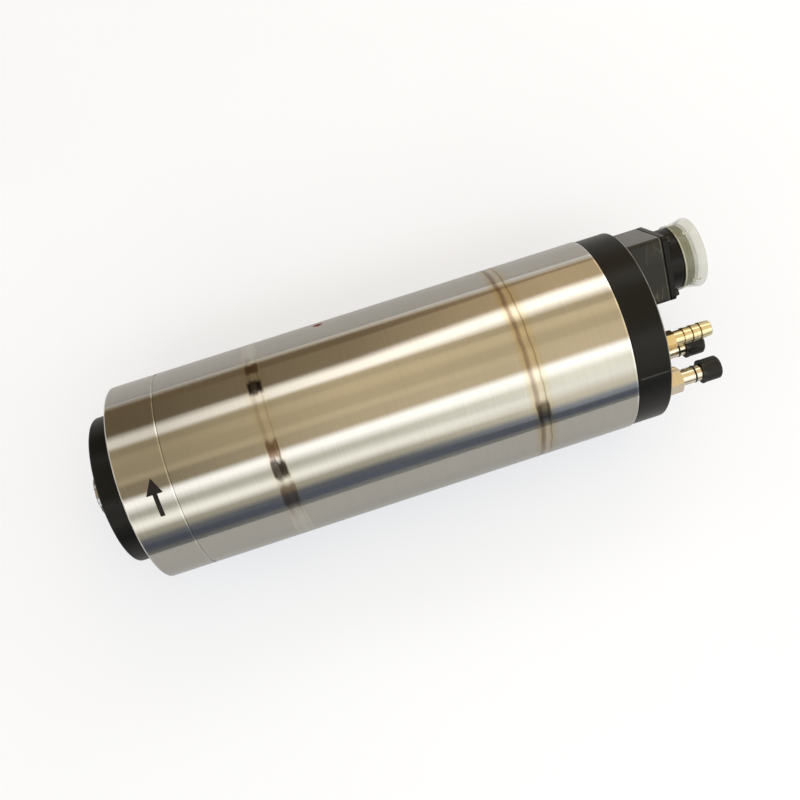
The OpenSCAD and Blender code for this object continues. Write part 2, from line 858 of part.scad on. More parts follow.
module spindle_shaft() {
    color([0.68, 0.68, 0.7])
        turned([[shank_room_end + 3.6, 0], [shank_room_end, shank_room_r], [shank_room_x, shank_room_r],
            [shank_room_x, collet_taper_r(shank_room_x) + run],
            [nose_face_x, collet_taper_r(nose_face_x) + run], [nose_face_x, nose_thread_r - 0.6],
            [nose_face_x + 0.6, nose_thread_r], [nut_end_x - 1.3, nose_thread_r],
            [nut_end_x - 1.3, nose_thread_r - 0.8],
            [collar_x, nose_thread_r - 0.8], [collar_x, collar_r], [bearing_1_x, collar_r],
            [bearing_1_x, rotor_seat_r], [bearing_3_x, rotor_seat_r], [bearing_3_x, rear_bore_r - seat],
            [rear_end_x, rear_bore_r - seat], [rear_end_x, rear_bore_r - 0.5],
            [shaft_end_x - 0.6, rear_bore_r - 0.5], [shaft_end_x, rear_bore_r - 1.1], [shaft_end_x, 0]]);
}

module collet() {
    slot_depth = collet_l * 0.8;
    color([0.6, 0.6, 0.6])
        difference() {
            turned([[0, tool_r], [0, collet_flange_r - 0.3], [0.3, collet_flange_r],
                [collet_flange_l, collet_flange_r], [collet_flange_l, collet_groove_r],
                [collet_groove_end, collet_groove_r], [collet_shoulder_x, collet_r],
                [collet_l, collet_taper_r(collet_l)], [collet_l, tool_r]]);
            around(collet_slots, 0)
                translate([-1, 0, -collet_slot_w / 2])
                    cube([slot_depth + 1, collet_r + 1, collet_slot_w]);
            around(collet_slots, 0, 180 / collet_slots)
                translate([collet_l - slot_depth, 0, -collet_slot_w / 2])
                    cube([slot_depth + 1, collet_r + 1, collet_slot_w]);
        }
}

module collet_nut() {
    r = nut_d / 2;
    color([0.66, 0.66, 0.68])
        difference() {
            turned([[nut_x, collet_flange_r + free], [nut_lip_x, collet_flange_r + free],
                [nut_lip_x, nut_lip_r], [collet_groove_end + 0.3, nut_lip_r],
                [nut_cone_x, collet_r + 0.3], [nut_cone_x, nose_thread_r + run],
                [nut_end_x, nose_thread_r + run], [nut_end_x, r - 0.5], [nut_end_x - 0.5, r],
                [nut_x + 0.6, r], [nut_x, r - 0.6]]);
            around(nut_slots, r - 1.3)
                translate([nut_x - 1, 0, -1.7])
                    cube([nut_l / 2 + 0.5, 3, 3.4]);
        }
}

// Rear end

module rear_bearing_housing() {
    color([0.55, 0.56, 0.58])
        difference() {
            turned([[hub_x, rear_or - 3.6], [hub_x, hub_r - 1], [hub_x + 1, hub_r],
                [flange_x - hub_collar_l, hub_r], [flange_x - hub_collar_l, stator_r - seat],
                [flange_x, stator_r - seat], [flange_x, flange_r - seat], [steel_end_x, flange_r - seat],
                [steel_end_x, rear_or], [preload_ring_x - spring_l, rear_or],
                [preload_ring_x - spring_l, rear_or - 3.6]]);
            at_rear(socket_at, 0)
                rod(hub_x - 1, steel_end_x - hub_x + 2, lead_hole_r);
            around(rear_screws, rear_screw_r, rear_turn + rear_screw_turn)
                rod(flange_x - 1, flange_l + 2, m4 / 2 + head_room / 2);
            for (t = hub_screw_turns)
                around(1, hub_screw_r, rear_turn + t) {
                    rod(flange_x - 1, flange_l + 2, m4 / 2 + head_room / 2);
                    rod(steel_end_x - m4 - head_room, m4 + 1, 0.875 * m4 + head_room);
                }
            at_rear(inlet_a * inlet_way, inlet_b * inlet_way)
                rod(flange_x - 1, flange_l + 2, coolant_hole_d / 2);
            at_rear(outlet_way_a, outlet_way_b)
                rod(flange_x - 1, flange_l + 2, coolant_hole_d / 2);
            at_rear(barb_a, barb_b)
                rod(flange_x - hub_collar_l - 1, flange_l + hub_collar_l + 2, port_bore_d / 2);
        }
}

module rear_bearing_housing_screws() {
    color("dimgray")
        for (t = hub_screw_turns)
            around(1, hub_screw_r, rear_turn + t)
                translate([steel_end_x - m4 - 0.1, 0, 0])
                    mirror([1, 0, 0])
                        cap_screw(0, m4, flange_l + hub_thread_l);
}

module rear_openings(x, l) {
    at_rear(socket_at, 0)
        rod(x, l, lead_hole_r);
    around(rear_screws, rear_screw_r, rear_turn + rear_screw_turn)
        rod(x, l, m4 / 2 + head_room / 2);
}

module rear_cover_gasket() {
    color([0.25, 0.25, 0.25])
        difference() {
            tube(steel_end_x, rear_gasket, rear_cover_r - 0.4, rear_or);
            rear_openings(steel_end_x - 1, rear_gasket + 2);
            at_rear(inlet_a * inlet_way, inlet_b * inlet_way)
                rod(steel_end_x - 1, 3, coolant_hole_d / 2);
            at_rear(outlet_way_a, outlet_way_b)
                rod(steel_end_x - 1, 3, coolant_hole_d / 2);
            at_rear(barb_a, barb_b)
                rod(steel_end_x - 1, 3, port_bore_d / 2);
        }
}

module rear_cover() {
    cover_x = steel_end_x + rear_gasket;
    inlet_r = norm([inlet_a, inlet_b]);
    color([0.1, 0.1, 0.1])
        difference() {
            turned([[cover_x, 0], [cover_x, rear_cover_r - 0.3], [cover_x + 0.3, rear_cover_r],
                [rear_face_x - edge, rear_cover_r], [rear_face_x, rear_cover_r - edge], [rear_face_x, 0]]);
            rod(cover_x - 1, 5, rear_or - 5);
            rear_openings(cover_x - 1, rear_cover_l + 2);
            around(rear_screws, rear_screw_r, rear_turn + rear_screw_turn)
                rod(rear_face_x - m4 - head_room, m4 + 2, 0.875 * m4 + head_room);
            for (p = [[inlet_a, inlet_b, port_thread_d], [outlet_a, outlet_b, port_thread_d],
                [barb_a, barb_b, barb_thread_d]])
                at_rear(p[0], p[1])
                    rod(rear_face_x - port_thread_l - 2, port_thread_l + 3, p[2] / 2 + seat);
            at_rear(barb_a, barb_b)
                rod(cover_x - 1, rear_cover_l, port_bore_d / 2);
            at_rear(inlet_a, inlet_b)
                rod(cover_x + 2, rear_cover_l - 6, coolant_hole_d / 2);
            at_rear(outlet_hole_a, outlet_way_b)
                rod(cover_x + 2, rear_cover_l - 6, coolant_hole_d / 2);
            // The groove from the inlet out to its coolant way
            rotate([rear_turn + atan2(inlet_b, inlet_a), 0, 0])
                translate([cover_x - 1, inlet_r - way_w / 2, -way_w / 2])
                    cube([5, coolant_way_r - inlet_r + way_w, way_w]);
            // The groove from the outlet across to its coolant way
            at_rear(outlet_way_a - way_w / 2, outlet_way_b - way_w / 2)
                translate([cover_x - 1, 0, 0])
                    cube([5, outlet_hole_a - outlet_way_a + way_w, way_w]);
        }
}

module rear_cover_screws() {
    color("dimgray")
        around(rear_screws, rear_screw_r, rear_turn + rear_screw_turn)
            translate([rear_face_x - m4 - 0.1, 0, 0])
                mirror([1, 0, 0])
                    cap_screw(0, m4, rear_cover_l + flange_l + 6);
}

// Power socket

module socket_box_gasket() {
    color([0.25, 0.25, 0.25])
        difference() {
            socket_block(rear_face_x, box_gasket, box_h - 1, box_w - 1, box_round);
            at_rear(socket_at, 0)
                rod(rear_face_x - 1, box_gasket + 2, lead_hole_r + 1);
        }
}

module socket_box() {
    color([0.2, 0.2, 0.19])
        difference() {
            socket_block(box_x, box_l, box_h, box_w, box_round);
            socket_block(box_x - 1, box_l + 2, cavity_long, box_w - 2 * boss_w, 2);
            socket_block(box_x - 1, box_l + 2, box_h - 2 * boss_w, cavity_wide, 2);
            at_rear(socket_at, 0)
                rod(box_x - 1, box_l + 2, socket_neck_r + free);
            at_socket_corners()
                rod(box_x + 4, box_l, m25 / 2 + seat);
        }
}

module socket_gasket() {
    color([0.08, 0.08, 0.08])
        difference() {
            socket_block(box_x + box_l, box_gasket, box_h - 1.6, box_w - 1, box_round);
            at_rear(socket_at, 0)
                rod(box_x + box_l - 1, box_gasket + 2, insert_r + 1.6);
            at_socket_corners()
                rod(box_x + box_l - 1, box_gasket + 2, m25 / 2 + 0.3);
        }
}

module socket_shell() {
    color([0.12, 0.12, 0.12])
        difference() {
            union() {
                socket_block(socket_x, socket_flange_l, box_h, socket_flange_w, flange_round);
                at_rear(socket_at, 0) {
                    rod(shell_x - 1, shell_l + 1, shell_r);
                    rod(insert_x, socket_x - insert_x + 1, socket_neck_r);
                }
            }
            at_rear(socket_at, 0) {
                rod(insert_x - 1, shell_end_x, insert_r + seat);
                rod(shell_x + 1.5, shell_l, shell_in_r);
                rotate([90, 0, 0])
                    translate([shell_x + 4, -1.5, shell_in_r - 1])
                        cube([shell_l, 3, 2.2]);
            }
            at_socket_corners()
                rod(socket_x - 1, socket_flange_l + 2, m25 / 2 + 0.2);
        }
}

module socket_screws() {
    color("silver")
        at_socket_corners()
            translate([shell_x, 0, 0])
                mirror([1, 0, 0])
                    cap_screw(0, m25, box_l * 2 / 3);
}

module socket_insert() {
    color([0.35, 0.2, 0.12])
        difference() {
            at_rear(socket_at, 0)
                rod(insert_x, insert_end_x - insert_x, insert_r);
            at_pins()
                rod(insert_x - 1, insert_end_x - insert_x + 2, pin_d / 2 + seat);
        }
}

module socket_pins() {
    color([0.85, 0.75, 0.45])
        at_pins()
            difference() {
                turned([[pin_x, 0], [pin_x, pin_d / 2], [pin_end_x - 1, pin_d / 2],
                    [pin_end_x, pin_d / 2 - 0.7], [pin_end_x, 0]]);
                rod(pin_x - 1, 3, pin_d / 2 - 0.5);
            }
}

module motor_leads() {
    color([0.8, 0.8, 0.78])
        at_pins()
            rod(core_end_x + winding_l, pin_x - core_end_x - winding_l, lead_d / 2);
}

module socket_cap() {
    color([0.85, 0.87, 0.8, 0.6])
        at_rear(socket_at, 0)
            turned([[cap_x, cap_r - cap_wall], [cap_x, cap_r], [cap_flare_x, cap_r],
                [cap_end_x - cap_lip_l, cap_rim_r], [cap_end_x, cap_rim_r], [cap_end_x, cap_rim_r - cap_wall],
                [cap_end_x - cap_lip_l, cap_rim_r - cap_wall], [cap_web_x, cap_web_r - cap_wall],
                [cap_web_x, 0], [cap_web_x - cap_wall, 0], [cap_web_x - cap_wall, cap_r - cap_wall],
                [cap_flare_x, cap_r - cap_wall]]);
}

// Ports

module port_washers() {
    color([0.7, 0.45, 0.25])
    {
        for (p = [[inlet_a, inlet_b], [outlet_a, outlet_b]])
            at_rear(p[0], p[1])
                tube(rear_face_x, washer_l, port_hex / 2, port_thread_d / 2 + seat);
        at_rear(barb_a, barb_b)
            tube(rear_face_x, washer_l, barb_hex / 2, barb_thread_d / 2 + seat);
    }
}

module hexagon(x, l, flats) {
    intersection() {
        along_x(x)
            cylinder(h = l, r = flats / 2 / cos(30), $fn = 6);
        turned([[x, 0], [x, flats / 2 + 0.2], [x + 0.7, flats / 2 + 1.4], [x + l - 0.7, flats / 2 + 1.4],
            [x + l, flats / 2 + 0.2], [x + l, 0]]);
    }
}

module coolant_port() {
    color([0.9, 0.78, 0.5])
        difference() {
            union() {
                rod(rear_face_x - port_thread_l, port_thread_l + washer_l + 0.1, port_thread_d / 2);
                hexagon(port_x, port_hex_l, port_hex);
                rod(port_neck_x - 0.1, port_neck_l + 0.1, port_neck_d / 2);
                rod(port_neck_end_x - 0.1, spout_l + 0.1, spout_d / 2);
            }
            tube(port_groove_x, port_groove_l, port_neck_d, port_neck_d / 2 - port_groove_depth);
            rod(rear_face_x - port_thread_l - 1, dust_cap_x + dust_cap_l, port_bore_d / 2);
        }
}

module coolant_inlet() {
    at_rear(inlet_a, inlet_b)
        coolant_port();
}

module coolant_outlet() {
    at_rear(outlet_a, outlet_b)
        coolant_port();
}

module port_orings() {
    color([0.05, 0.05, 0.05])
        for (p = [[inlet_a, inlet_b], [outlet_a, outlet_b]])
            at_rear(p[0], p[1])
                along_x(port_groove_x + port_groove_l / 2)
                    rotate_extrude()
                        translate([port_neck_d / 2 - port_groove_depth + 0.5 + seat, 0])
                            circle(r = 0.5);
}

module dust_cap() {
    r = dust_cap_d / 2;
    color([0.08, 0.08, 0.08])
        difference() {
            turned([[dust_cap_x, 0], [dust_cap_x, r + 0.2], [dust_cap_x + 1.4, r + 0.2],
                [dust_cap_x + 1.6, r], [dust_cap_x + dust_cap_l - 1, r], [dust_cap_x + dust_cap_l, r - 1],
                [dust_cap_x + dust_cap_l, 0]]);
            rod(dust_cap_x - 1, dust_cap_l - 0.4, spout_d / 2 + free);
            around(dust_ribs, r + 0.25)
                rod(dust_cap_x + 2, dust_cap_l, 0.75);
        }
}

module inlet_cap() {
    at_rear(inlet_a, inlet_b)
        dust_cap();
}

module outlet_cap() {
    at_rear(outlet_a, outlet_b)
        dust_cap();
}

module seal_air_barb() {
    r = barb_d / 2;
    color([0.93, 0.8, 0.45])
        at_rear(barb_a, barb_b)
            difference() {
                union() {
                    rod(rear_face_x - port_thread_l, port_thread_l + washer_l + 0.1, barb_thread_d / 2);
                    rotate([barb_hex_turn, 0, 0])
                        hexagon(port_x, barb_hex_l, barb_hex);
                    rod(barb_neck_x - 0.1, barb_plain_l + 0.2, r - barb_tooth);
                    for (x = [barb_ridge_x : barb_step : barb_ridge_x + (barb_ridges - 1.5) * barb_step])
                        turned([[x, 0], [x, r], [x + 0.8, r], [x + barb_step + 0.1, r - barb_tooth],
                            [x + barb_step + 0.1, 0]]);
                    turned([[barb_tip_x, 0], [barb_tip_x, r], [barb_tip_x + 0.8, r],
                        [barb_end_x - 0.5, r - barb_tooth], [barb_end_x, r - barb_tooth - 0.5],
                        [barb_end_x, 0]]);
                }
                rod(rear_face_x - port_thread_l - 1, barb_end_x, port_bore_d / 2);
            }
}

front_cover();
front_cover_screws();
front_cover_oring();
front_housing();
front_housing_screws();
front_housing_oring();
housing_barrel();
jacket_sleeve();
front_weld();
rear_weld();
jacket_plug();
stator_core();
stator_windings();
front_outer_rings();
front_outer_spacer();
rear_outer_rings();
rear_outer_spacer();
preload_ring();
preload_spring();
rear_bearing_housing();
rear_bearing_housing_screws();
rear_cover_gasket();
rear_cover();
rear_cover_screws();
socket_box_gasket();
socket_box();
socket_gasket();
socket_shell();
socket_screws();
socket_insert();
socket_pins();
motor_leads();
port_washers();
coolant_inlet();
coolant_outlet();
port_orings();
seal_air_barb();
spindle_shaft();
rotor_core();
rotor_cage();
balance_rings();
front_inner_rings();
front_inner_spacer();
front_locknut();
rear_inner_rings();
rear_inner_spacer();
rear_locknut();
front_ball_cages();
front_bearing_balls();
rear_ball_cages();
rear_bearing_balls();
collet();
collet_nut();
socket_cap();
inlet_cap();
outlet_cap();
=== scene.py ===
# %% [markdown]
# # A water-cooled motor spindle on a pale table
# The imported model already holds every piece of the spindle at its true size: covers, barrel, jacket, collet,
# bearings, motor, socket and hose fittings. This lesson adds what a machinist would see and a CAD solid
# cannot say: which faces were ground, where the welds heated the steel, which parts are anodised, cast,
# moulded or turned from brass. The model is loaded first. Nothing that is added later may make the object
# bigger.

# %% Load the imported model
import json
import math

import bmesh
import bpy
from mathutils import Matrix, Vector


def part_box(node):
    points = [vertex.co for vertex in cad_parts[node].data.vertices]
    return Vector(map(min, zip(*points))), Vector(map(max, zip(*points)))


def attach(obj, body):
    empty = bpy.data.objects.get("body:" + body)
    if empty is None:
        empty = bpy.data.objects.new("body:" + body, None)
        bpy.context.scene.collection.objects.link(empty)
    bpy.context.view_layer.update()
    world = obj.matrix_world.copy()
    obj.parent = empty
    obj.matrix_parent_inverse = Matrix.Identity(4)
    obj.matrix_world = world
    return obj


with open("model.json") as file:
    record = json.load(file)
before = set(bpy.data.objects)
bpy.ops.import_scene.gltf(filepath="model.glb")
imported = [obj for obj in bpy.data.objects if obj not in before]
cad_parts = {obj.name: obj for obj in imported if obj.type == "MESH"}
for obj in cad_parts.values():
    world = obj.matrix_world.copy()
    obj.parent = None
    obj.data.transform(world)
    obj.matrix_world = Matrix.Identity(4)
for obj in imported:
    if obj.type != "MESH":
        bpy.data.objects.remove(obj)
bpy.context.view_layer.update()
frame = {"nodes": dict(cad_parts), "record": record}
scene = bpy.context.scene
MM = 0.001

# %% [markdown]
# ## Sizes that the finishes need
# A finish that follows the lathe has to know where it is along the tool axis. Writing those stations down a
# second time would let them drift from the model, so they are read from the boxes of the pieces that carry
# them. The tool axis is the X axis, so a piece's outer radius is the largest distance of its points from that
# axis.

# %% Read stations and radii from the model
def outer_radius(node):
    """The largest distance from the tool axis of a CAD node's points."""
    return max(math.hypot(v.co.y, v.co.z) for v in frame["nodes"][node].data.vertices)


barrel_radius = outer_radius("jacket_sleeve")
rim_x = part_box("front_housing")[0].x
seam_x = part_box("housing_barrel")[0].x
steel_end_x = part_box("housing_barrel")[1].x
rear_face_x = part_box("rear_cover")[1].x
weld_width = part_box("front_weld")[1].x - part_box("front_weld")[0].x
front_weld_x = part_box("front_weld")[0].x + weld_width / 2
rear_weld_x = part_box("rear_weld")[0].x + weld_width / 2
print("barrel radius in mm:", round(barrel_radius / MM, 2))
print("welds at", round(front_weld_x / MM, 1), "and", round(rear_weld_x / MM, 1))

# %% [markdown]
# ## The camera
# The photograph looks down on the barrel from a hand's height, a little turned, with a normal lens. The
# barrel's two outer edges and its round rims fix the place and the lens together: a longer lens from further
# away would make the near and the far end the same width. The two directions below are where the camera looks
# and which way is up in its picture, and the third is square to both.

# %% Set up the camera
SENSOR_WIDTH = 36.0
LENS = 38.75
CAMERA_PLACE = (0.16736, -0.11072, 0.52090)
LOOKS_ALONG = (0.04410, 0.20646, -0.97747)
CAMERA_UP = (0.30694, 0.92830, 0.20992)
camera_data = bpy.data.cameras.new("photo_camera")
camera_data.sensor_width = SENSOR_WIDTH
camera_data.lens = LENS
camera = bpy.data.objects.new("photo_camera", camera_data)
scene.collection.objects.link(camera)
looks_along, camera_up = Vector(LOOKS_ALONG).normalized(), Vector(CAMERA_UP).normalized()
camera_right = looks_along.cross(camera_up)
turn = Matrix((camera_right, camera_up, -looks_along)).transposed().to_4x4()
camera.matrix_world = Matrix.Translation(CAMERA_PLACE) @ turn
scene.camera = camera
scene.view_settings.view_transform = "Standard"
print("lens:", LENS, "camera height in mm:", round(camera.location.z / MM))

# %% [markdown]
# ## Helpers for building materials
# Every finish is a small tree of nodes. Adding a node, setting it and linking its inputs takes three kinds of
# lines, so one helper does all three, and others on top of it do arithmetic, noise and colour. With them a
# finish reads like a recipe. Noise scales count cells per metre, and a gain and an offset spread a noise's
# middle values over the range from 0 to 1.

# %% Helpers for single nodes
def feed(tree, socket, value):
    """Fills an input with a value, or links it to a socket."""
    if isinstance(value, bpy.types.NodeSocket):
        tree.links.new(value, socket)
    else:
        socket.default_value = value


def add(tree, kind, inputs=None, **settings):
    """Adds a node, applies its settings and fills or links its inputs."""
    made = tree.nodes.new(kind)
    for name, value in settings.items():
        setattr(made, name, value)
    for name, value in (inputs or {}).items():
        feed(tree, made.inputs[name], value)
    return made


def calc(tree, operation, *values, clamp=False):
    """One arithmetic node; its values are numbers or sockets."""
    made = add(tree, "ShaderNodeMath", dict(enumerate(values)), operation=operation, use_clamp=clamp)
    return made.outputs[0]


def object_point(tree):
    """The place of the shaded point on its object, in metres."""
    return add(tree, "ShaderNodeTexCoord").outputs["Object"]


def noise(tree, point, scale, detail, distortion=0.0, seed=None):
    """A noise value at a point, from 0 to 1 and about one half on the whole; a seed picks another pattern."""
    inputs = {"Vector": point, "Scale": scale, "Detail": detail, "Distortion": distortion}
    if seed is None:
        return add(tree, "ShaderNodeTexNoise", inputs).outputs[0]
    return add(tree, "ShaderNodeTexNoise", {**inputs, "W": seed}, noise_dimensions="4D").outputs[0]


print("node helpers ready")

# %% Helpers for colours
def rgb(colour):
    """A colour with its fourth number."""
    return (*colour, 1.0)


def grey(tone):
    """A grey colour of three equal numbers."""
    return (tone, tone, tone)


def blend_colour(tree, factor, first, second, mode="MIX"):
    """Mixes two colours and returns the result's socket."""
    made = add(tree, "ShaderNodeMix", {0: factor, 6: first, 7: second}, data_type="RGBA", blend_type=mode)
    return made.outputs[2]


def shade(tree, colour, tone):
    """A colour made darker or lighter by a tone socket."""
    tone_colour = add(tree, "ShaderNodeCombineColor", {0: tone, 1: tone, 2: tone})
    return blend_colour(tree, 1.0, colour, tone_colour.outputs[0], "MULTIPLY")


print("colour helpers ready")

# %% Helpers for shader groups
def new_socket(tree, label, in_out):
    """A group's socket: a colour where its label ends in Colour, and a number elsewhere."""
    kind = "NodeSocketColor" if label.endswith("Colour") else "NodeSocketFloat"
    return tree.interface.new_socket(label, in_out=in_out, socket_type=kind)


def new_group(name, inputs, outputs):
    """Starts a shader group and returns its tree, the sockets that it is given and those that it fills."""
    tree = bpy.data.node_groups.new(name, "ShaderNodeTree")
    for label, value in inputs.items():
        new_socket(tree, label, "INPUT").default_value = value
    for label in outputs:
        new_socket(tree, label, "OUTPUT")
    return tree, add(tree, "NodeGroupInput").outputs, add(tree, "NodeGroupOutput").inputs


def use_group(tree, group, inputs):
    """Places a shader group in a material and returns its outputs."""
    return add(tree, "ShaderNodeGroup", inputs, node_tree=group).outputs


print("group helpers ready")

# %% [markdown]
# ## Shared effect: marks of the lathe and the grinder
# A turned or ground face carries fine lines that run round the tool axis. Rings of a wave texture would be
# perfectly even, which no machine is. A noise that is squeezed along X and nearly constant across Y and Z
# gives lines of uneven strength that fade in and out on their way round, with no seam where the angle starts
# again.

# %% Group for turned and ground faces
SCALE_ROUND_AXIS = 14.0
PATCH_SCALE = 22.0
SMOOTHEST = 0.03
tree, given, result = new_group(
    "turned_marks",
    {"Colour": rgb(grey(0.5)), "Roughness": 0.3, "Pitch": 0.4, "Contrast": 0.1, "Roughness Spread": 0.1},
    ["Colour", "Roughness", "Height"])
turned_marks = tree
here = object_point(tree)
place = add(tree, "ShaderNodeSeparateXYZ", {0: here}).outputs
squeezed = add(tree, "ShaderNodeCombineXYZ", {
    0: calc(tree, "MULTIPLY", place[0], calc(tree, "DIVIDE", 1 / MM, given["Pitch"])),
    1: calc(tree, "MULTIPLY", place[1], SCALE_ROUND_AXIS),
    2: calc(tree, "MULTIPLY", place[2], SCALE_ROUND_AXIS)})
lines = noise(tree, squeezed.outputs[0], 1.0, 3.0)
patches = noise(tree, here, PATCH_SCALE, 3.0)
vary = calc(tree, "ADD", calc(tree, "SUBTRACT", lines, 0.5), calc(tree, "SUBTRACT", patches, 0.5))
tone = calc(tree, "MULTIPLY_ADD", vary, given["Contrast"], 1.0)
rougher = calc(tree, "MULTIPLY_ADD", vary, given["Roughness Spread"], given["Roughness"])
feed(tree, result["Colour"], shade(tree, given["Colour"], tone))
feed(tree, result["Roughness"], calc(tree, "MAXIMUM", rougher, SMOOTHEST))
feed(tree, result["Height"], lines)
print("group:", tree.name)

# %% [markdown]
# ## Shared effect: heat tint beside a weld
# Heat grows an oxide film on steel: straw where it was warm, brown and then blue-black where it was hot. The
# jacket's two welds were ground flush, so their colour is nearly all that shows. The film is a colour of the
# steel and not of the light, so it multiplies the steel's own colour. A ramp across the weld holds the two
# darker fusion lines and the straw rims, and slow noise makes the film thicker in some places round the
# barrel, as where the torch stopped.

# %% Group for the heat tint
# Colours across the weld: 0.5 is its middle, and 0 and 1 are two half widths away
FILM = [
    (0.08, (1.00, 1.00, 1.00)), (0.20, (1.00, 0.93, 0.76)), (0.29, (0.95, 0.80, 0.52)),
    (0.33, (0.46, 0.29, 0.16)), (0.40, (0.36, 0.22, 0.12)), (0.44, (0.70, 0.52, 0.32)),
    (0.50, (1.12, 1.00, 0.78)), (0.61, (1.05, 0.92, 0.66)), (0.66, (0.45, 0.31, 0.18)),
    (0.70, (1.00, 0.90, 0.66)), (0.80, (1.00, 0.95, 0.80)), (0.92, (1.00, 1.00, 1.00))]
# Slow noise sets how thick the film is round the barrel, and quick noise makes its edges wander
THICKNESS_SCALE, THICKNESS_GAIN, THICKNESS_OFFSET = 16.0, 1.3, 0.2
WANDER_SCALE, WANDER = 90.0, 0.5
tree, given, result = new_group(
    "heat_tint",
    {"Colour": rgb(grey(0.5)), "Weld Station": 0.0, "Half Width": 0.0045, "Strength": 0.7, "Seed": 0.0},
    ["Colour"])
heat_tint = tree
here = object_point(tree)
station = add(tree, "ShaderNodeSeparateXYZ", {0: here}).outputs[0]
slow = noise(tree, here, THICKNESS_SCALE, 2.0, seed=given["Seed"])
quick = noise(tree, here, WANDER_SCALE, 3.0, seed=given["Seed"])
wander = calc(tree, "MULTIPLY", calc(tree, "SUBTRACT", quick, 0.5), WANDER)
from_weld = calc(tree, "SUBTRACT", station, given["Weld Station"])
across = calc(tree, "ADD", wander, calc(tree, "DIVIDE", from_weld, given["Half Width"]))
ramp = add(tree, "ShaderNodeValToRGB", {0: calc(tree, "MULTIPLY_ADD", across, 0.25, 0.5, clamp=True)})
while len(ramp.color_ramp.elements) < len(FILM):
    ramp.color_ramp.elements.new(0.5)
for element, (position, colour) in zip(ramp.color_ramp.elements, FILM):
    element.position = position
    element.color = rgb(colour)
thickness = calc(tree, "MULTIPLY_ADD", slow, THICKNESS_GAIN, THICKNESS_OFFSET, clamp=True)
filmed = blend_colour(tree, 1.0, given["Colour"], ramp.outputs[0], "MULTIPLY")
share = calc(tree, "MULTIPLY", thickness, given["Strength"])
feed(tree, result["Colour"], blend_colour(tree, share, given["Colour"], filmed))
print("group:", tree.name, "with", len(FILM), "film colours")

# %% [markdown]
# ## Shared effect: a thin line at a ring edge
# Some turned parts get a thin line of another colour at one edge: painted highlights where cut edges catch the
# light, painted shade in the grooves between the barb's teeth, and the clear cap's paler lip. On a turned part
# that edge always lies at one station of the tool axis, so a mask of the station finds it exactly, and noise
# breaks it up. A flat end face has that station too, so the mask can be kept to what lies outside a radius.

# %% Group for painted lines at ring edges
EDGE_SHARPNESS = 4.0
BREAK_SCALE, BREAK_GAIN, BREAK_OFFSET = 60.0, 3.0, -0.8
tree, given, result = new_group(
    "ring_edge",
    {"Colour": rgb(grey(0.02)), "Edge Colour": rgb((0.6, 0.6, 0.58)), "Station": 0.0, "Width": 0.0008,
     "Inner Radius": 0.0, "Line Strength": 0.6},
    ["Colour", "Mask"])
ring_edge = tree
here = object_point(tree)
place = add(tree, "ShaderNodeSeparateXYZ", {0: here}).outputs
squares = [calc(tree, "POWER", place[axis], 2.0) for axis in (1, 2)]
from_axis = calc(tree, "SQRT", calc(tree, "ADD", *squares))
outside = calc(tree, "GREATER_THAN", from_axis, given["Inner Radius"])
apart = calc(tree, "ABSOLUTE", calc(tree, "SUBTRACT", place[0], given["Station"]))
depth = calc(tree, "SUBTRACT", 1.0, calc(tree, "DIVIDE", apart, given["Width"]))
inside = calc(tree, "MULTIPLY", outside, calc(tree, "MULTIPLY", depth, EDGE_SHARPNESS, clamp=True))
patchy = noise(tree, here, BREAK_SCALE, 4.0)
broken = calc(tree, "MULTIPLY_ADD", patchy, BREAK_GAIN, BREAK_OFFSET, clamp=True)
mask = calc(tree, "MULTIPLY", inside, calc(tree, "MULTIPLY", broken, given["Line Strength"]))
feed(tree, result["Colour"], blend_colour(tree, mask, given["Colour"], given["Edge Colour"]))
feed(tree, result["Mask"], mask)
print("group:", tree.name)

# %% [markdown]
# ## Shared effect: one mark at a place on a round piece
# A patch beside a weld that is partly heat tint and partly painted reflection, a wiped patch or a long scratch
# sits at one place: a station along the axis and an angle round it. The mask is a soft box in those two
# measures. Noise that is stretched round the piece frays its edges, because the grinder has dragged every mark
# that way.

# %% Group for a mark at a place
FRAY_SCALE, DRAG = 65.0, (6.0, 1.0, 1.0)
THIN_GAIN, THIN_OFFSET = 0.8, 0.95
# How far the noise moves the mark's ends and sides, and how sharply each of them falls off
FRAY_ALONG, SHARPNESS_ALONG = 0.6, 4.0
FRAY_AROUND, SHARPNESS_AROUND = 1.2, 2.2
tree, given, result = new_group(
    "ring_mark",
    {"Colour": rgb(grey(0.5)), "Mark Colour": rgb((0.05, 0.04, 0.03)), "Station": 0.0, "Half Length": 0.005,
     "Angle": 90.0, "Half Angle": 5.0, "Strength": 1.0},
    ["Colour", "Mask"])
ring_mark = tree
here = object_point(tree)
place = add(tree, "ShaderNodeSeparateXYZ", {0: here}).outputs
dragged = add(tree, "ShaderNodeMapping", {"Vector": here, "Scale": DRAG})
fray = calc(tree, "SUBTRACT", noise(tree, dragged.outputs[0], FRAY_SCALE, 3.0), 0.5)
degrees = calc(tree, "DEGREES", calc(tree, "ARCTAN2", place[2], place[1]))
softened = []
for measure, middle, half, fray_share, sharpness in (
        (place[0], "Station", "Half Length", FRAY_ALONG, SHARPNESS_ALONG),
        (degrees, "Angle", "Half Angle", FRAY_AROUND, SHARPNESS_AROUND)):
    apart = calc(tree, "ABSOLUTE", calc(tree, "SUBTRACT", measure, given[middle]))
    reach = calc(tree, "MULTIPLY_ADD", fray, fray_share, calc(tree, "DIVIDE", apart, given[half]))
    softened.append(calc(tree, "MULTIPLY", calc(tree, "SUBTRACT", 1.0, reach), sharpness, clamp=True))
thin = calc(tree, "MULTIPLY_ADD", fray, THIN_GAIN, THIN_OFFSET, clamp=True)
strength = calc(tree, "MULTIPLY", given["Strength"], thin)
mask = calc(tree, "MULTIPLY", calc(tree, "MULTIPLY", *softened), strength)
feed(tree, result["Colour"], blend_colour(tree, mask, given["Colour"], given["Mark Colour"]))
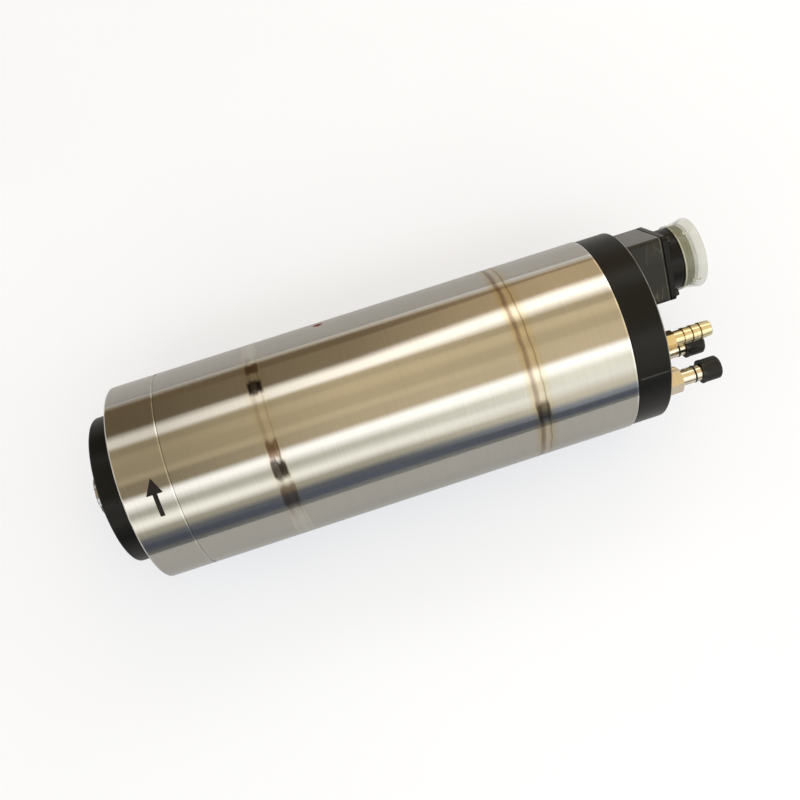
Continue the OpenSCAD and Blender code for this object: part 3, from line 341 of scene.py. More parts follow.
feed(tree, result["Mask"], mask)
print("group:", tree.name)

# %% [markdown]
# ## Shared effect: scuffs and fine scratches
# Scratches on a painted or anodised part are hairlines that wander. A thin slice through a distorted noise,
# only where its value is very near one half, is such a hairline. A second, slow noise keeps them to a few
# rubbed places.

# %% Group for scuffs
HAIR_TURN, HAIR_STRETCH = (0.5, 0.3, 0.8), (1.0, 0.12, 0.8)
HAIRLINE_SHARPNESS = 45.0
RUBBED_SCALE, RUBBED_GAIN, RUBBED_OFFSET = 45.0, 4.0, -1.9
tree, given, result = new_group(
    "scuffs",
    {"Colour": rgb(grey(0.02)), "Scratch Colour": rgb((0.3, 0.29, 0.26)), "Scale": 40.0, "Amount": 0.5,
     "Haze": 0.15},
    ["Colour", "Mask"])
scuffs = tree
here = object_point(tree)
stretched = add(tree, "ShaderNodeMapping", {"Vector": here, "Rotation": HAIR_TURN, "Scale": HAIR_STRETCH})
hair = noise(tree, stretched.outputs[0], given["Scale"], 2.0, distortion=0.3)
from_half = calc(tree, "ABSOLUTE", calc(tree, "SUBTRACT", hair, 0.5))
hairline = calc(tree, "MULTIPLY_ADD", from_half, -HAIRLINE_SHARPNESS, 1.0, clamp=True)
rubbed = noise(tree, here, RUBBED_SCALE, 4.0)
cloud = calc(tree, "MULTIPLY_ADD", rubbed, RUBBED_GAIN, RUBBED_OFFSET, clamp=True)
scratched = calc(tree, "MULTIPLY", hairline, cloud)
hazed = calc(tree, "MULTIPLY", cloud, given["Haze"])
mask = calc(tree, "MULTIPLY", calc(tree, "ADD", scratched, hazed), given["Amount"])
feed(tree, result["Colour"], blend_colour(tree, mask, given["Colour"], given["Scratch Colour"]))
feed(tree, result["Mask"], mask)
print("group:", tree.name)

# %% [markdown]
# ## Shared effect: cast and moulded skins
# A casting, a rubber or a moulding has a fine pebbled skin and a slow change of tone. Two sizes of noise give
# both, and the height feeds a bump in each material.

# %% Group for cast and moulded skins
SLOW_SCALE = 35.0
tree, given, result = new_group(
    "moulded_skin",
    {"Colour": rgb(grey(0.1)), "Roughness": 0.5, "Grain": 900.0, "Contrast": 0.2, "Roughness Spread": 0.15},
    ["Colour", "Roughness", "Height"])
moulded_skin = tree
here = object_point(tree)
grain = noise(tree, here, given["Grain"], 3.0)
slow = noise(tree, here, SLOW_SCALE, 4.0)
vary = calc(tree, "ADD", calc(tree, "MULTIPLY_ADD", grain, 0.5, -0.25), calc(tree, "SUBTRACT", slow, 0.5))
tone = calc(tree, "MULTIPLY_ADD", vary, given["Contrast"], 1.0)
feed(tree, result["Colour"], shade(tree, given["Colour"], tone))
feed(tree, result["Roughness"], calc(
    tree, "MULTIPLY_ADD", vary, given["Roughness Spread"], given["Roughness"]))
feed(tree, result["Height"], grain)
print("group:", tree.name)

# %% [markdown]
# ## Two families of finish
# Nearly every piece is either turned metal or something cast or moulded. Each family gets one function that
# starts from the Principled shader, places the family's group and adds the bump. What differs from piece to
# piece is its values, so a finish is then one short call, and the few special ones add their own nodes to
# what it returns.

# %% Functions for the two families
finishes = {}


def add_bump(tree, shader, height, depth, strength=0.3):
    """Raises the surface by a height socket; depth is in metres. An earlier bump is kept below it."""
    below = shader.inputs["Normal"].links
    under = {"Normal": below[0].from_socket} if below else {}
    bump = add(tree, "ShaderNodeBump", {"Height": height, "Distance": depth, "Strength": strength, **under})
    feed(tree, shader.inputs["Normal"], bump.outputs[0])


def family_finish(slot, group, metallic, depth, inputs):
    """A material named as the record's slot; returns its tree, its surface shader and the group's outputs."""
    material = bpy.data.materials.new(slot)
    material.use_nodes = True
    finishes[slot] = material
    tree = material.node_tree
    shader = tree.nodes["Principled BSDF"]
    shader.inputs["Metallic"].default_value = metallic
    look = use_group(tree, group, inputs)
    feed(tree, shader.inputs["Base Color"], look["Colour"])
    feed(tree, shader.inputs["Roughness"], look["Roughness"])
    if depth:
        add_bump(tree, shader, look["Height"], depth)
    return tree, shader, look


def turned_finish(slot, colour, roughness, pitch=0.4, contrast=0.15, spread=0.12, depth=2e-6, metallic=1.0):
    """Turned or ground metal; the pitch of its lines is in millimetres."""
    return family_finish(slot, turned_marks, metallic, depth, {
        "Colour": rgb(colour), "Roughness": roughness, "Pitch": pitch, "Contrast": contrast,
        "Roughness Spread": spread})


def moulded_finish(slot, colour, roughness, grain=900.0, contrast=0.3, spread=0.15, depth=2e-5):
    """Cast, moulded, pressed or rubber parts; the grain counts cells per metre."""
    return family_finish(slot, moulded_skin, 0.0, depth, {
        "Colour": rgb(colour), "Roughness": roughness, "Grain": grain, "Contrast": contrast,
        "Roughness Spread": spread})


print("families ready")

# %% [markdown]
# ## The ground steel of the barrel
# The barrel and the front ring are cylindrically ground: almost a mirror, with a soft grain round the axis. A
# mirror has hardly a colour of its own, so its dark and bright bands come from the cards of the light tent
# further down. The material holds the grain and the tint of the two welds, and it paints light in two places:
# highlights along the cut edges, and patches at the welds that are partly heat tint and partly painted
# reflection.

# %% Marks on the ground steel
STEEL = (0.50, 0.485, 0.455)
# Colour of the painted highlight where a cut edge of the steel catches the light
HIGHLIGHT_COLOUR = (0.95, 0.94, 0.90)
# Colours of the patches at the welds, which are partly heat tint and partly painted reflection
DARKEST_PATCH = (0.045, 0.036, 0.028)
BROWN = (0.17, 0.105, 0.065)
LIGHTER_PATCH = (0.66, 0.65, 0.62)
# Each painted edge highlight is (station, width in mm, line strength)
EDGE_HIGHLIGHTS = [(rim_x, 1.1, 0.9), (seam_x - 0.6 * MM, 0.4, 0.45), (steel_end_x, 0.9, 0.9)]
# Each tint is (station, strength, seed)
TINTS = [(front_weld_x, 0.30, 3.1), (rear_weld_x, 0.85, 7.7)]
# Each patch at a weld is (station, angle, half angle, half length in mm, colour, strength); an angle of 90 is
# the top. The patches are partly heat tint and partly painted reflection, where the weld's face mirrors the
# room otherwise than the steel beside it.
WELD_PATCHES = [
    (front_weld_x, 36, 17, 4.6, LIGHTER_PATCH, 0.6),
    (front_weld_x, 58, 4.5, 4.2, BROWN, 0.9),
    (front_weld_x, 71, 5.5, 4.8, DARKEST_PATCH, 1.0),
    (front_weld_x, 107, 6, 4.0, BROWN, 0.9),
    (front_weld_x, 118, 7, 4.8, DARKEST_PATCH, 1.0),
    (front_weld_x, 135, 9, 5.2, BROWN, 0.75),
    (front_weld_x, 162, 16, 5.6, LIGHTER_PATCH, 0.6),
    (rear_weld_x, 134, 7.5, 4.8, DARKEST_PATCH, 0.8),
]
print("cut edges:", len(EDGE_HIGHLIGHTS), "tints:", len(TINTS), "weld_patches:", len(WELD_PATCHES))

# %% Finish of the ground steel and of the welds
# How far in from the outer radius the painted highlight of a cut edge reaches
EDGE_DEPTH = 1.2 * MM
# The grinder leaves the face very slightly wavy, which breaks up the edges of the reflections
WAVES_PER_METRE = 55.0
WAVE_DEPTH = 1.8e-5
GRAIN_DEPTH = 4e-7


def ground_finish(slot, colour, roughness):
    """Ground steel: heat tint at both welds, painted highlights at the cut edges, and weld patches that are
    partly painted reflection.
    """
    tree, shader, marks = turned_finish(
        slot, colour, roughness, pitch=0.9, contrast=0.11, spread=0.04, depth=0)
    so_far = marks["Colour"]
    # Painted highlights along the cut edges, where they catch the light
    for station, width, line_strength in EDGE_HIGHLIGHTS:
        so_far = use_group(tree, ring_edge, {
            "Colour": so_far, "Edge Colour": rgb(HIGHLIGHT_COLOUR), "Station": station, "Width": width * MM,
            "Inner Radius": barrel_radius - EDGE_DEPTH, "Line Strength": line_strength})["Colour"]
    for station, strength, seed in TINTS:
        so_far = use_group(tree, heat_tint, {
            "Colour": so_far, "Weld Station": station, "Half Width": weld_width / 2, "Strength": strength,
            "Seed": seed})["Colour"]
    # Patches beside the welds: partly heat tint, partly painted reflection where the weld's face mirrors the
    # room differently
    for station, angle, half_angle, half_length, mark_colour, strength in WELD_PATCHES:
        so_far = use_group(tree, ring_mark, {
            "Colour": so_far, "Mark Colour": rgb(mark_colour), "Station": station, "Angle": angle,
            "Half Length": half_length * MM, "Half Angle": half_angle, "Strength": strength})["Colour"]
    feed(tree, shader.inputs["Base Color"], so_far)
    add_bump(tree, shader, noise(tree, object_point(tree), WAVES_PER_METRE, 2.0), WAVE_DEPTH, 1.0)
    add_bump(tree, shader, marks["Height"], GRAIN_DEPTH, 0.5)


ground_finish("ground_steel", STEEL, roughness=0.09)
ground_finish("weld_bead", STEEL, roughness=0.12)
print("finishes:", sorted(finishes))

# %% [markdown]
# ## Black parts
# Front and rear covers are anodised: smooth, with a satin gloss, and the rear cover's cut edge has a painted
# highlight. The socket box is a casting with scuffed paint and a painted highlight at its end edge, and the
# socket's shell is smooth black. All of them are dark but not without colour, and their gloss tells them apart.

# %% Finish of the anodised covers
SATIN = 0.17
tree, shader, marks = turned_finish(
    "black_anodised", (0.0075, 0.0075, 0.007), 0.30, pitch=0.5, contrast=0.3, spread=0.10, depth=1e-6,
    metallic=0.0)
shader.inputs["Specular IOR Level"].default_value = SATIN
# The bright line at the rear cover's cut edge is a painted highlight
rim_highlight = use_group(tree, ring_edge, {
    "Colour": marks["Colour"], "Edge Colour": rgb((0.42, 0.42, 0.40)), "Station": rear_face_x,
    "Width": 0.9 * MM, "Inner Radius": outer_radius("rear_cover") - EDGE_DEPTH, "Line Strength": 0.8})
scratch = use_group(tree, ring_mark, {
    "Colour": rim_highlight["Colour"], "Mark Colour": rgb((0.085, 0.085, 0.08)),
    "Station": (steel_end_x + rear_face_x) / 2, "Half Length": 9.5 * MM, "Angle": 134.5, "Half Angle": 0.7,
    "Strength": 0.6})
rubbed = use_group(tree, scuffs, {
    "Colour": scratch["Colour"], "Scratch Colour": rgb((0.16, 0.155, 0.145)), "Scale": 30.0, "Amount": 0.15,
    "Haze": 0.1})
feed(tree, shader.inputs["Base Color"], rubbed["Colour"])
print("finishes:", len(finishes))

# %% Finish of the cast socket box
tree, shader, skin = moulded_finish(
    "black_casting", (0.013, 0.012, 0.008), 0.34, grain=1500.0, contrast=0.5, spread=0.2, depth=3e-5)
shader.inputs["Specular IOR Level"].default_value = 0.30
shader.inputs["Coat Roughness"].default_value = 0.22
shader.inputs["Coat IOR"].default_value = 1.8
# The paint shines where it is seen at a low angle
GLOSS_BLEND, GLOSS_GAIN, GLOSS_OFFSET = 0.30, 1.6, -0.35
facing = add(tree, "ShaderNodeLayerWeight", {"Blend": GLOSS_BLEND}).outputs["Facing"]
gloss = calc(tree, "MULTIPLY_ADD", facing, GLOSS_GAIN, GLOSS_OFFSET, clamp=True)
feed(tree, shader.inputs["Coat Weight"], gloss)
rubbed = use_group(tree, scuffs, {
    "Colour": skin["Colour"], "Scratch Colour": rgb((0.17, 0.16, 0.115)), "Scale": 120.0, "Amount": 0.8,
    "Haze": 0.14})
# The paler line at the box's end edge is a painted highlight
end_edge_highlight = use_group(tree, ring_edge, {
    "Colour": rubbed["Colour"], "Edge Colour": rgb((0.15, 0.145, 0.12)), "Station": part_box("socket_box")[1].x,
    "Width": 0.7 * MM, "Line Strength": 0.8})
feed(tree, shader.inputs["Base Color"], end_edge_highlight["Colour"])
print("finishes:", len(finishes))

# %% Finishes of the other black parts
shell_shader = turned_finish(
    "black_shell", grey(0.008), 0.28, pitch=0.6, contrast=0.3, spread=0.1, depth=1e-6, metallic=0.0)[1]
shell_shader.inputs["Specular IOR Level"].default_value = SATIN
turned_finish("black_screw", (0.045, 0.043, 0.041), 0.42, pitch=0.5, contrast=0.3)
turned_finish("dark_nut", grey(0.10), 0.42, pitch=0.5, contrast=0.3)
moulded_finish("black_rubber", grey(0.020), 0.62, grain=1800.0)
cap_shader = moulded_finish("black_cap", grey(0.009), 0.30, grain=2500.0, depth=1e-5)[1]
cap_shader.inputs["Specular IOR Level"].default_value = 0.35
print("finishes:", len(finishes))

# %% [markdown]
# ## Brass, bright steel and the inner pieces
# The hose fittings are turned from brass. The pieces inside get finishes as careful as those outside, because
# the spindle can be opened up on a screen: lapped bearing steel, stacked sheets of the cores, enamelled
# copper and fabric-filled resin in the ball cages.

# %% Finishes of the metals
turned_finish("pale_brass", (0.82, 0.73, 0.58), 0.17, pitch=0.5, contrast=0.25)
turned_finish("contact_gold", (0.86, 0.66, 0.28), 0.22)
turned_finish("hard_steel", (0.46, 0.46, 0.47), 0.20, pitch=0.3)
turned_finish("turned_steel", (0.45, 0.45, 0.46), 0.28, pitch=0.45, contrast=0.2)
turned_finish("bearing_steel", (0.62, 0.62, 0.64), 0.12, pitch=0.2, contrast=0.06, spread=0.05, depth=5e-7)
turned_finish("spring_steel", (0.22, 0.24, 0.30), 0.35)
turned_finish("rotor_alloy", (0.62, 0.42, 0.20), 0.38, pitch=0.6, contrast=0.3)
turned_finish("bearing_housing_iron", (0.26, 0.26, 0.27), 0.40, pitch=0.6, contrast=0.3)
print("finishes:", len(finishes))

# %% Stations of the grooves between the barb's teeth
def step_stations(node):
    """The stations at which a node that is turned about its own axis steps from one radius to another."""
    low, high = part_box(node)
    axis_y, axis_z = (low.y + high.y) / 2, (low.z + high.z) / 2
    radii = {}
    for vertex in frame["nodes"][node].data.vertices:
        station = round(vertex.co.x, 5)
        radii.setdefault(station, []).append(math.hypot(vertex.co.y - axis_y, vertex.co.z - axis_z))
    bore = min(min(found) for found in radii.values())
    steps = []
    for station, found in sorted(radii.items()):
        outer = [radius for radius in found if radius > bore + 0.5 * MM]
        if outer and max(outer) - min(outer) > 0.2 * MM:
            steps.append(station)
    return steps


# The teeth lie in this range before the barb's open end
FIRST_TOOTH, LAST_TOOTH = 20 * MM, 3 * MM
barb_end_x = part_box("seal_air_barb")[1].x
steps = step_stations("seal_air_barb")
teeth = [station for station in steps if LAST_TOOTH < barb_end_x - station < FIRST_TOOTH]
print("grooves at", [round(station / MM, 1) for station in teeth])

# %% Finish of the brass barb
tree, shader, marks = turned_finish("brass", (0.77, 0.66, 0.41), 0.17, pitch=0.5, contrast=0.25)
so_far = marks["Colour"]
# The dark line at each tooth step is painted shade, for the shadow in the groove between two teeth
for station in teeth:
    so_far = use_group(tree, ring_edge, {
        "Colour": so_far, "Edge Colour": rgb((0.27, 0.18, 0.08)), "Station": station, "Width": 0.4 * MM,
        "Line Strength": 1.2})["Colour"]
feed(tree, shader.inputs["Base Color"], so_far)
print("finishes:", len(finishes))

# %% Finishes of the stacked sheets and the copper
# A wave texture of scale 1 repeats after about this many metres
WAVE_LENGTH = 0.31
STRIPE_SHARE = 0.45


def striped_finish(slot, colour, roughness, pitch):
    """Metal with even stripes across the tool axis, such as stacked sheets; the pitch is in millimetres."""
    tree, shader, marks = turned_finish(slot, colour, roughness, pitch, contrast=0.2)
    stripes = add(tree, "ShaderNodeTexWave", {
        "Vector": object_point(tree), "Scale": WAVE_LENGTH / (pitch * MM), "Distortion": 0.2},
        bands_direction="X")
    striped = blend_colour(tree, STRIPE_SHARE, marks["Colour"], stripes.outputs["Color"], "MULTIPLY")
    feed(tree, shader.inputs["Base Color"], striped)
    add_bump(tree, shader, stripes.outputs["Fac"], depth=3e-5, strength=0.5)


striped_finish("lamination", (0.24, 0.24, 0.25), 0.45, pitch=0.5)
striped_finish("copper", (0.62, 0.27, 0.12), 0.32, pitch=0.8)
print("finishes:", len(finishes))

# %% Finishes of the resins, gaskets and seals
moulded_finish("cage_resin", (0.32, 0.19, 0.08), 0.55, grain=1400.0, contrast=0.6)
moulded_finish("brown_insulator", (0.10, 0.05, 0.025), 0.35, grain=1600.0)
moulded_finish("gasket_fibre", grey(0.05), 0.75, grain=2400.0, contrast=0.7)
moulded_finish("lead_insulation", (0.62, 0.61, 0.56), 0.50, grain=1300.0, contrast=0.15)
moulded_finish("red_sealant", (0.42, 0.035, 0.020), 0.30, grain=1200.0, contrast=0.4)
print("finishes:", len(finishes))

# %% [markdown]
# ## The translucent socket cap
# The cap is a thin milky moulding. Real refraction through two thin walls would cost many samples and add
# nothing at this size, so the wall covers a part of what is behind it: over the black shell it looks
# grey-green, and over the pale table nearly white, just as the real one does. Its thicker lip covers more,
# and a soft gloss lies over it.

# %% Finish of the clear cap
WALL_COVERS = 0.29
LIP_COVERS_MORE = 0.6
tree, shader, skin = moulded_finish(
    "clear_cap", (0.50, 0.52, 0.39), 0.22, grain=300.0, contrast=0.03, spread=0.03, depth=2e-6)
lip = use_group(tree, ring_edge, {
    "Colour": skin["Colour"], "Edge Colour": rgb((0.80, 0.80, 0.70)), "Station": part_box("socket_cap")[0].x,
    "Width": 0.8 * MM, "Line Strength": 0.9})
feed(tree, shader.inputs["Base Color"], lip["Colour"])
feed(tree, shader.inputs["Alpha"], calc(tree, "MULTIPLY_ADD", lip["Mask"], LIP_COVERS_MORE, WALL_COVERS))
shader.inputs["Coat Weight"].default_value = 0.3
finishes["clear_cap"].surface_render_method = "BLENDED"
print("finishes:", len(finishes))

# %% [markdown]
# ## Dress the CAD pieces
# The record says which material slot each node takes. The finishes were kept under the same names, so one
# loop gives every node its finish. The meshes themselves stay as they were packed.

# %% Give every node its finish
for part in frame["record"]["subparts"]:
    mesh = frame["nodes"][part["node"]].data
    mesh.materials.clear()
    mesh.materials.append(finishes[part["material_slot"]])

# %% [markdown]
# ## The rotation arrow
# A dark arrow on the front ring shows which way the shaft turns. It could be painted by the material, but its
# edges would then be only as sharp as the mask. A thin sheet bent round the ring keeps them crisp from any
# distance. The sheet is made of rows across the arrow, each at its own angle, so it follows the round steel,
# and it has a thickness of a few hundredths of a millimetre, so that it is a closed solid.

# %% Helpers for closed meshes
def outward_mesh(name, points, faces):
    """A mesh whose faces all point outwards."""
    mesh = bpy.data.meshes.new(name)
    mesh.from_pydata(points, [], faces)
    work = bmesh.new()
    work.from_mesh(mesh)
    bmesh.ops.recalc_face_normals(work, faces=work.faces)
    work.to_mesh(mesh)
    work.free()
    return mesh


def wrapped_strip(name, rows, low_radius, high_radius):
    """A closed thin strip on the barrel.

    Each row is (angle from the top towards the near side, first station, last station)."""
    points, faces = [], []
    for angle, first, last in rows:
        for radius in (low_radius, high_radius):
            for station in (first, last):
                points.append((station, -radius * math.sin(angle), radius * math.cos(angle)))
    for row in range(len(rows) - 1):
        a, b = 4 * row, 4 * row + 4
        faces += [(a, a + 1, b + 1, b), (a + 2, b + 2, b + 3, a + 3),
                  (a, b, b + 2, a + 2), (a + 1, a + 3, b + 3, b + 1)]
    end = 4 * (len(rows) - 1)
    faces += [(0, 2, 3, 1), (end, end + 1, end + 3, end + 2)]
    return outward_mesh(name, points, faces)


print("mesh helpers ready")

# %% Build the arrow
STEPS = 6
MARK_LOW, MARK_HIGH = 0.01 * MM, 0.06 * MM


def arrow_row(degrees, first, last):
    """A row of the arrow, its stations given in millimetres behind the front rim."""
    return math.radians(degrees), rim_x + first * MM, rim_x + last * MM


def rows_between(near, far):
    """Rows at even steps from one row to another."""
    return [tuple(n + (f - n) * (i / STEPS) for n, f in zip(near, far)) for i in range(STEPS + 1)]


shaft_rows = rows_between(arrow_row(32.7, 16.9, 19.5), arrow_row(20.2, 16.9, 19.5))
head_rows = rows_between(arrow_row(20.2, 13.3, 22.8), arrow_row(11.5, 18.4, 18.6))
mark_shader = moulded_finish("dark_mark", (0.014, 0.012, 0.010), 0.45, grain=1500.0, contrast=0.4)[1]
mark_shader.inputs["Specular IOR Level"].default_value = SATIN
for name, rows in (("arrow_shaft", shaft_rows), ("arrow_head", head_rows)):
    strip = wrapped_strip(name, rows, barrel_radius + MARK_LOW, barrel_radius + MARK_HIGH)
    piece = bpy.data.objects.new(name, strip)
    piece.data.materials.append(finishes["dark_mark"])
    scene.collection.objects.link(piece)
    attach(piece, "housing")
print("arrow rows:", len(shaft_rows), "and", len(head_rows))

# %% [markdown]
# ## Clip ribs on the socket cap
# The thin cap keeps its hold on the socket by four small frames that are moulded on its wall. Each is a bar
# along the axis with a short foot at both ends, and its colour is paler than the wall as a painted highlight,
# so that it shows as a bright bracket. They repeat evenly round the cap, so one rib is modelled and Geometry
# Nodes turns a copy of it about the cap's axis for each.

# %% Measure the cap's wall
cap_low, cap_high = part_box("socket_cap")
cap_axis_y, cap_axis_z = (cap_low.y + cap_high.y) / 2, (cap_low.z + cap_high.z) / 2
cap_points = [(v.co.x, math.hypot(v.co.y - cap_axis_y, v.co.z - cap_axis_z))
              for v in frame["nodes"]["socket_cap"].data.vertices]
skirt_radius = max(radius for station, radius in cap_points if station < cap_low.x + 1 * MM)
rim_radius = max(radius for station, radius in cap_points)
print("skirt radius in mm:", round(skirt_radius / MM, 2), "rim radius:", round(rim_radius / MM, 2))

# %% Model one rib
RIB_WIDTH, RIB_HEIGHT, RIB_FOOT = 0.45 * MM, 0.35 * MM, 1.6 * MM
rib_start, rib_end = cap_low.x + 4.6 * MM, cap_low.x + 9.4 * MM
# The bar with a foot at each end, as an outline of (station, place beside the bar)
bracket = [
    (rib_start, 0), (rib_end, 0), (rib_end, RIB_FOOT), (rib_end - RIB_WIDTH, RIB_FOOT),
    (rib_end - RIB_WIDTH, RIB_WIDTH), (rib_start + RIB_WIDTH, RIB_WIDTH), (rib_start + RIB_WIDTH, RIB_FOOT),
    (rib_start, RIB_FOOT)]
slope = (rim_radius - skirt_radius) / (cap_high.x - rib_start)
points = [(x, y, skirt_radius + slope * (x - rib_start) + height)
          for height in (-RIB_HEIGHT, RIB_HEIGHT) for x, y in bracket]
corners = len(bracket)
faces = [tuple(range(corners)), tuple(range(corners, 2 * corners))]
faces += [(i, (i + 1) % corners, corners + (i + 1) % corners, corners + i) for i in range(corners)]
rib_shape = bpy.data.objects.new("cap_rib_shape", outward_mesh("cap_rib_shape", points, faces))
print("rib length in mm:", round((rib_end - rib_start) / MM, 1))

# %% A tree that sets copies round the X axis
def ring_tree(name, shape, material, centre):
    """A Geometry Nodes tree with a count and a first turn; returns it and the identifiers of those inputs."""
    tree = bpy.data.node_groups.new(name, "GeometryNodeTree")
    tree.interface.new_socket("Geometry", in_out="INPUT", socket_type="NodeSocketGeometry")
    count = tree.interface.new_socket("Count", in_out="INPUT", socket_type="NodeSocketInt")
    first_turn = tree.interface.new_socket("First Turn", in_out="INPUT", socket_type="NodeSocketFloat")
    tree.interface.new_socket("Geometry", in_out="OUTPUT", socket_type="NodeSocketGeometry")
    given, result = add(tree, "NodeGroupInput").outputs, add(tree, "NodeGroupOutput").inputs
    row = add(tree, "GeometryNodeMeshLine", {"Count": given["Count"], "Offset": (0.0, 0.0, 0.0)})
    turn = calc(tree, "MULTIPLY_ADD", add(tree, "GeometryNodeInputIndex").outputs[0],
                calc(tree, "DIVIDE", 2 * math.pi, given["Count"]), given["First Turn"])
    angles = add(tree, "ShaderNodeCombineXYZ", {0: turn})
    source = add(tree, "GeometryNodeObjectInfo", {"Object": shape})
    placed = add(tree, "GeometryNodeInstanceOnPoints", {
        "Points": row.outputs[0], "Instance": source.outputs["Geometry"], "Rotation": angles.outputs[0]})
    realized = add(tree, "GeometryNodeRealizeInstances", {0: placed.outputs[0]})
    moved = add(tree, "GeometryNodeTransform", {"Geometry": realized.outputs[0], "Translation": centre})
    dressed = add(tree, "GeometryNodeSetMaterial", {"Geometry": moved.outputs[0], "Material": material})
    feed(tree, result[0], dressed.outputs[0])
    return tree, count.identifier, first_turn.identifier


print("ring tree ready")

# %% Set four ribs round the cap
RIB_COUNT = 4
FIRST_RIB = math.radians(-18.0)
# The ribs' pale colour is a painted highlight, paler than the cap's own plastic
rib_highlight_shader = moulded_finish(
    "cap_rib", (0.88, 0.88, 0.80), 0.25, grain=300.0, contrast=0.05, spread=0.05, depth=2e-6)[1]
rib_highlight_shader.inputs["Alpha"].default_value = 0.75
tree, count_input, turn_input = ring_tree(
    "cap_ribs", rib_shape, finishes["cap_rib"], (0.0, cap_axis_y, cap_axis_z))
carrier = bpy.data.objects.new("cap_ribs_carrier", bpy.data.meshes.new("cap_ribs_carrier"))
scene.collection.objects.link(carrier)
modifier = carrier.modifiers.new("cap_ribs", "NODES")
modifier.node_group = tree
modifier[count_input] = RIB_COUNT
modifier[turn_input] = FIRST_RIB
bpy.context.view_layer.update()
plain = bpy.data.meshes.new_from_object(carrier.evaluated_get(bpy.context.evaluated_depsgraph_get()))
# The modifier goes with its carrier, and the single rib isn't needed any more
bpy.data.objects.remove(carrier)
bpy.data.objects.remove(rib_shape)
cap_ribs = bpy.data.objects.new("cap_ribs", plain)
scene.collection.objects.link(cap_ribs)
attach(cap_ribs, "socket_cap_body")
print("cap ribs:", len(cap_ribs.data.polygons), "faces")

# %% [markdown]
# ## The table
# The spindle lies on a smooth pale table. The table takes the object's soft shadow as any painted board
# would, and a part of its brightness is given straight to the rays that come from the camera, a gloss or a
# clear part, so that it looks nearly white without more light falling on the object.

# %% Helpers for the table and the tent
def add_stage(name, corners, material):
    """A flat or faceted stage object from rows of corners, four to a face."""
    mesh = bpy.data.meshes.new(name)
    mesh.from_pydata(corners, [], [tuple(range(i, i + 4)) for i in range(0, len(corners), 4)])
    mesh.materials.append(material)
    made = bpy.data.objects.new(name, mesh)
    scene.collection.objects.link(made)
    return made


def for_seen_rays(tree, strength, gloss_share):
    """The strength for rays from the camera and through clear parts, a share of it for a gloss, else 0."""
    rays = add(tree, "ShaderNodeLightPath").outputs
    seen = calc(tree, "ADD", rays["Is Camera Ray"], rays["Is Transmission Ray"], clamp=True)
    seen = calc(tree, "MULTIPLY_ADD", rays["Is Glossy Ray"], gloss_share, seen, clamp=True)
    return calc(tree, "MULTIPLY", seen, strength)


print("stage helpers ready")

# %% Build the table
CLOUD_SCALE = 3.0
LIGHTER_PAINT = (0.567, 0.583, 0.622)
DARKER_PAINT = (0.532, 0.548, 0.586)
OWN_BRIGHTNESS, GLOSS_SHARE = 0.80, 0.2
TABLE_GAP = 0.2 * MM
TABLE_X = (-1.1, 1.5)
TABLE_Y = (-0.52, 1.3)
table_material = bpy.data.materials.new("pale_table")
table_material.use_nodes = True
tree = table_material.node_tree
shader = tree.nodes["Principled BSDF"]
clouds = noise(tree, object_point(tree), CLOUD_SCALE, 3.0)
paint = blend_colour(tree, clouds, rgb(LIGHTER_PAINT), rgb(DARKER_PAINT))
feed(tree, shader.inputs["Base Color"], paint)
feed(tree, shader.inputs["Emission Color"], paint)
feed(tree, shader.inputs["Emission Strength"], for_seen_rays(tree, OWN_BRIGHTNESS, GLOSS_SHARE))
shader.inputs["Roughness"].default_value = 0.7
shader.inputs["Specular IOR Level"].default_value = 0.2
table_z = -barrel_radius - TABLE_GAP
(left, right), (near, far) = TABLE_X, TABLE_Y
board = [(left, near, table_z), (right, near, table_z), (right, far, table_z), (left, far, table_z)]
add_stage("table", board, table_material)
print("table at", round(table_z / MM, 1), "mm")

# %% [markdown]
# ## The light tent
# A mirror-like cylinder shows whatever stands round it, stretched along its length. Each band on the barrel
# is one thing in the room: the far wall, a window, the ceiling, a lamp, the near wall and the room's dark
# side. Here they are cards on the inside of a long tent, at the angle about the tool axis where the barrel
# shows them. Angle 0 is level on the far side and 90 is straight up. Between two cards the tone runs evenly
# from one to the other, and past the object's ends all of them fade to the white of the room, so that no hard
# line shows in a view along the axis. The tent gives the object its plain soft light as well, and the camera
# doesn't see it.

# %% Describe the cards
NOSE, MIDDLE, REAR = 0, 1, 2


class Card:
    """One card: its angles, its colour, its strength at the nose, the middle and the rear, and its lean.

    The lean moves the rear end of a card round the axis, in degrees."""

    def __init__(self, name, start, end, colour, nose, middle, rear, lean=0.0):
        self.name, self.start, self.end, self.colour = name, start, end, colour
        self.strengths = (nose, middle, rear)
        self.leans = (0.0, 0.0, lean)

    def tone(self, column):
        """The card's colour at its full strength in one column."""
        return tuple(self.strengths[column] * channel for channel in self.colour)


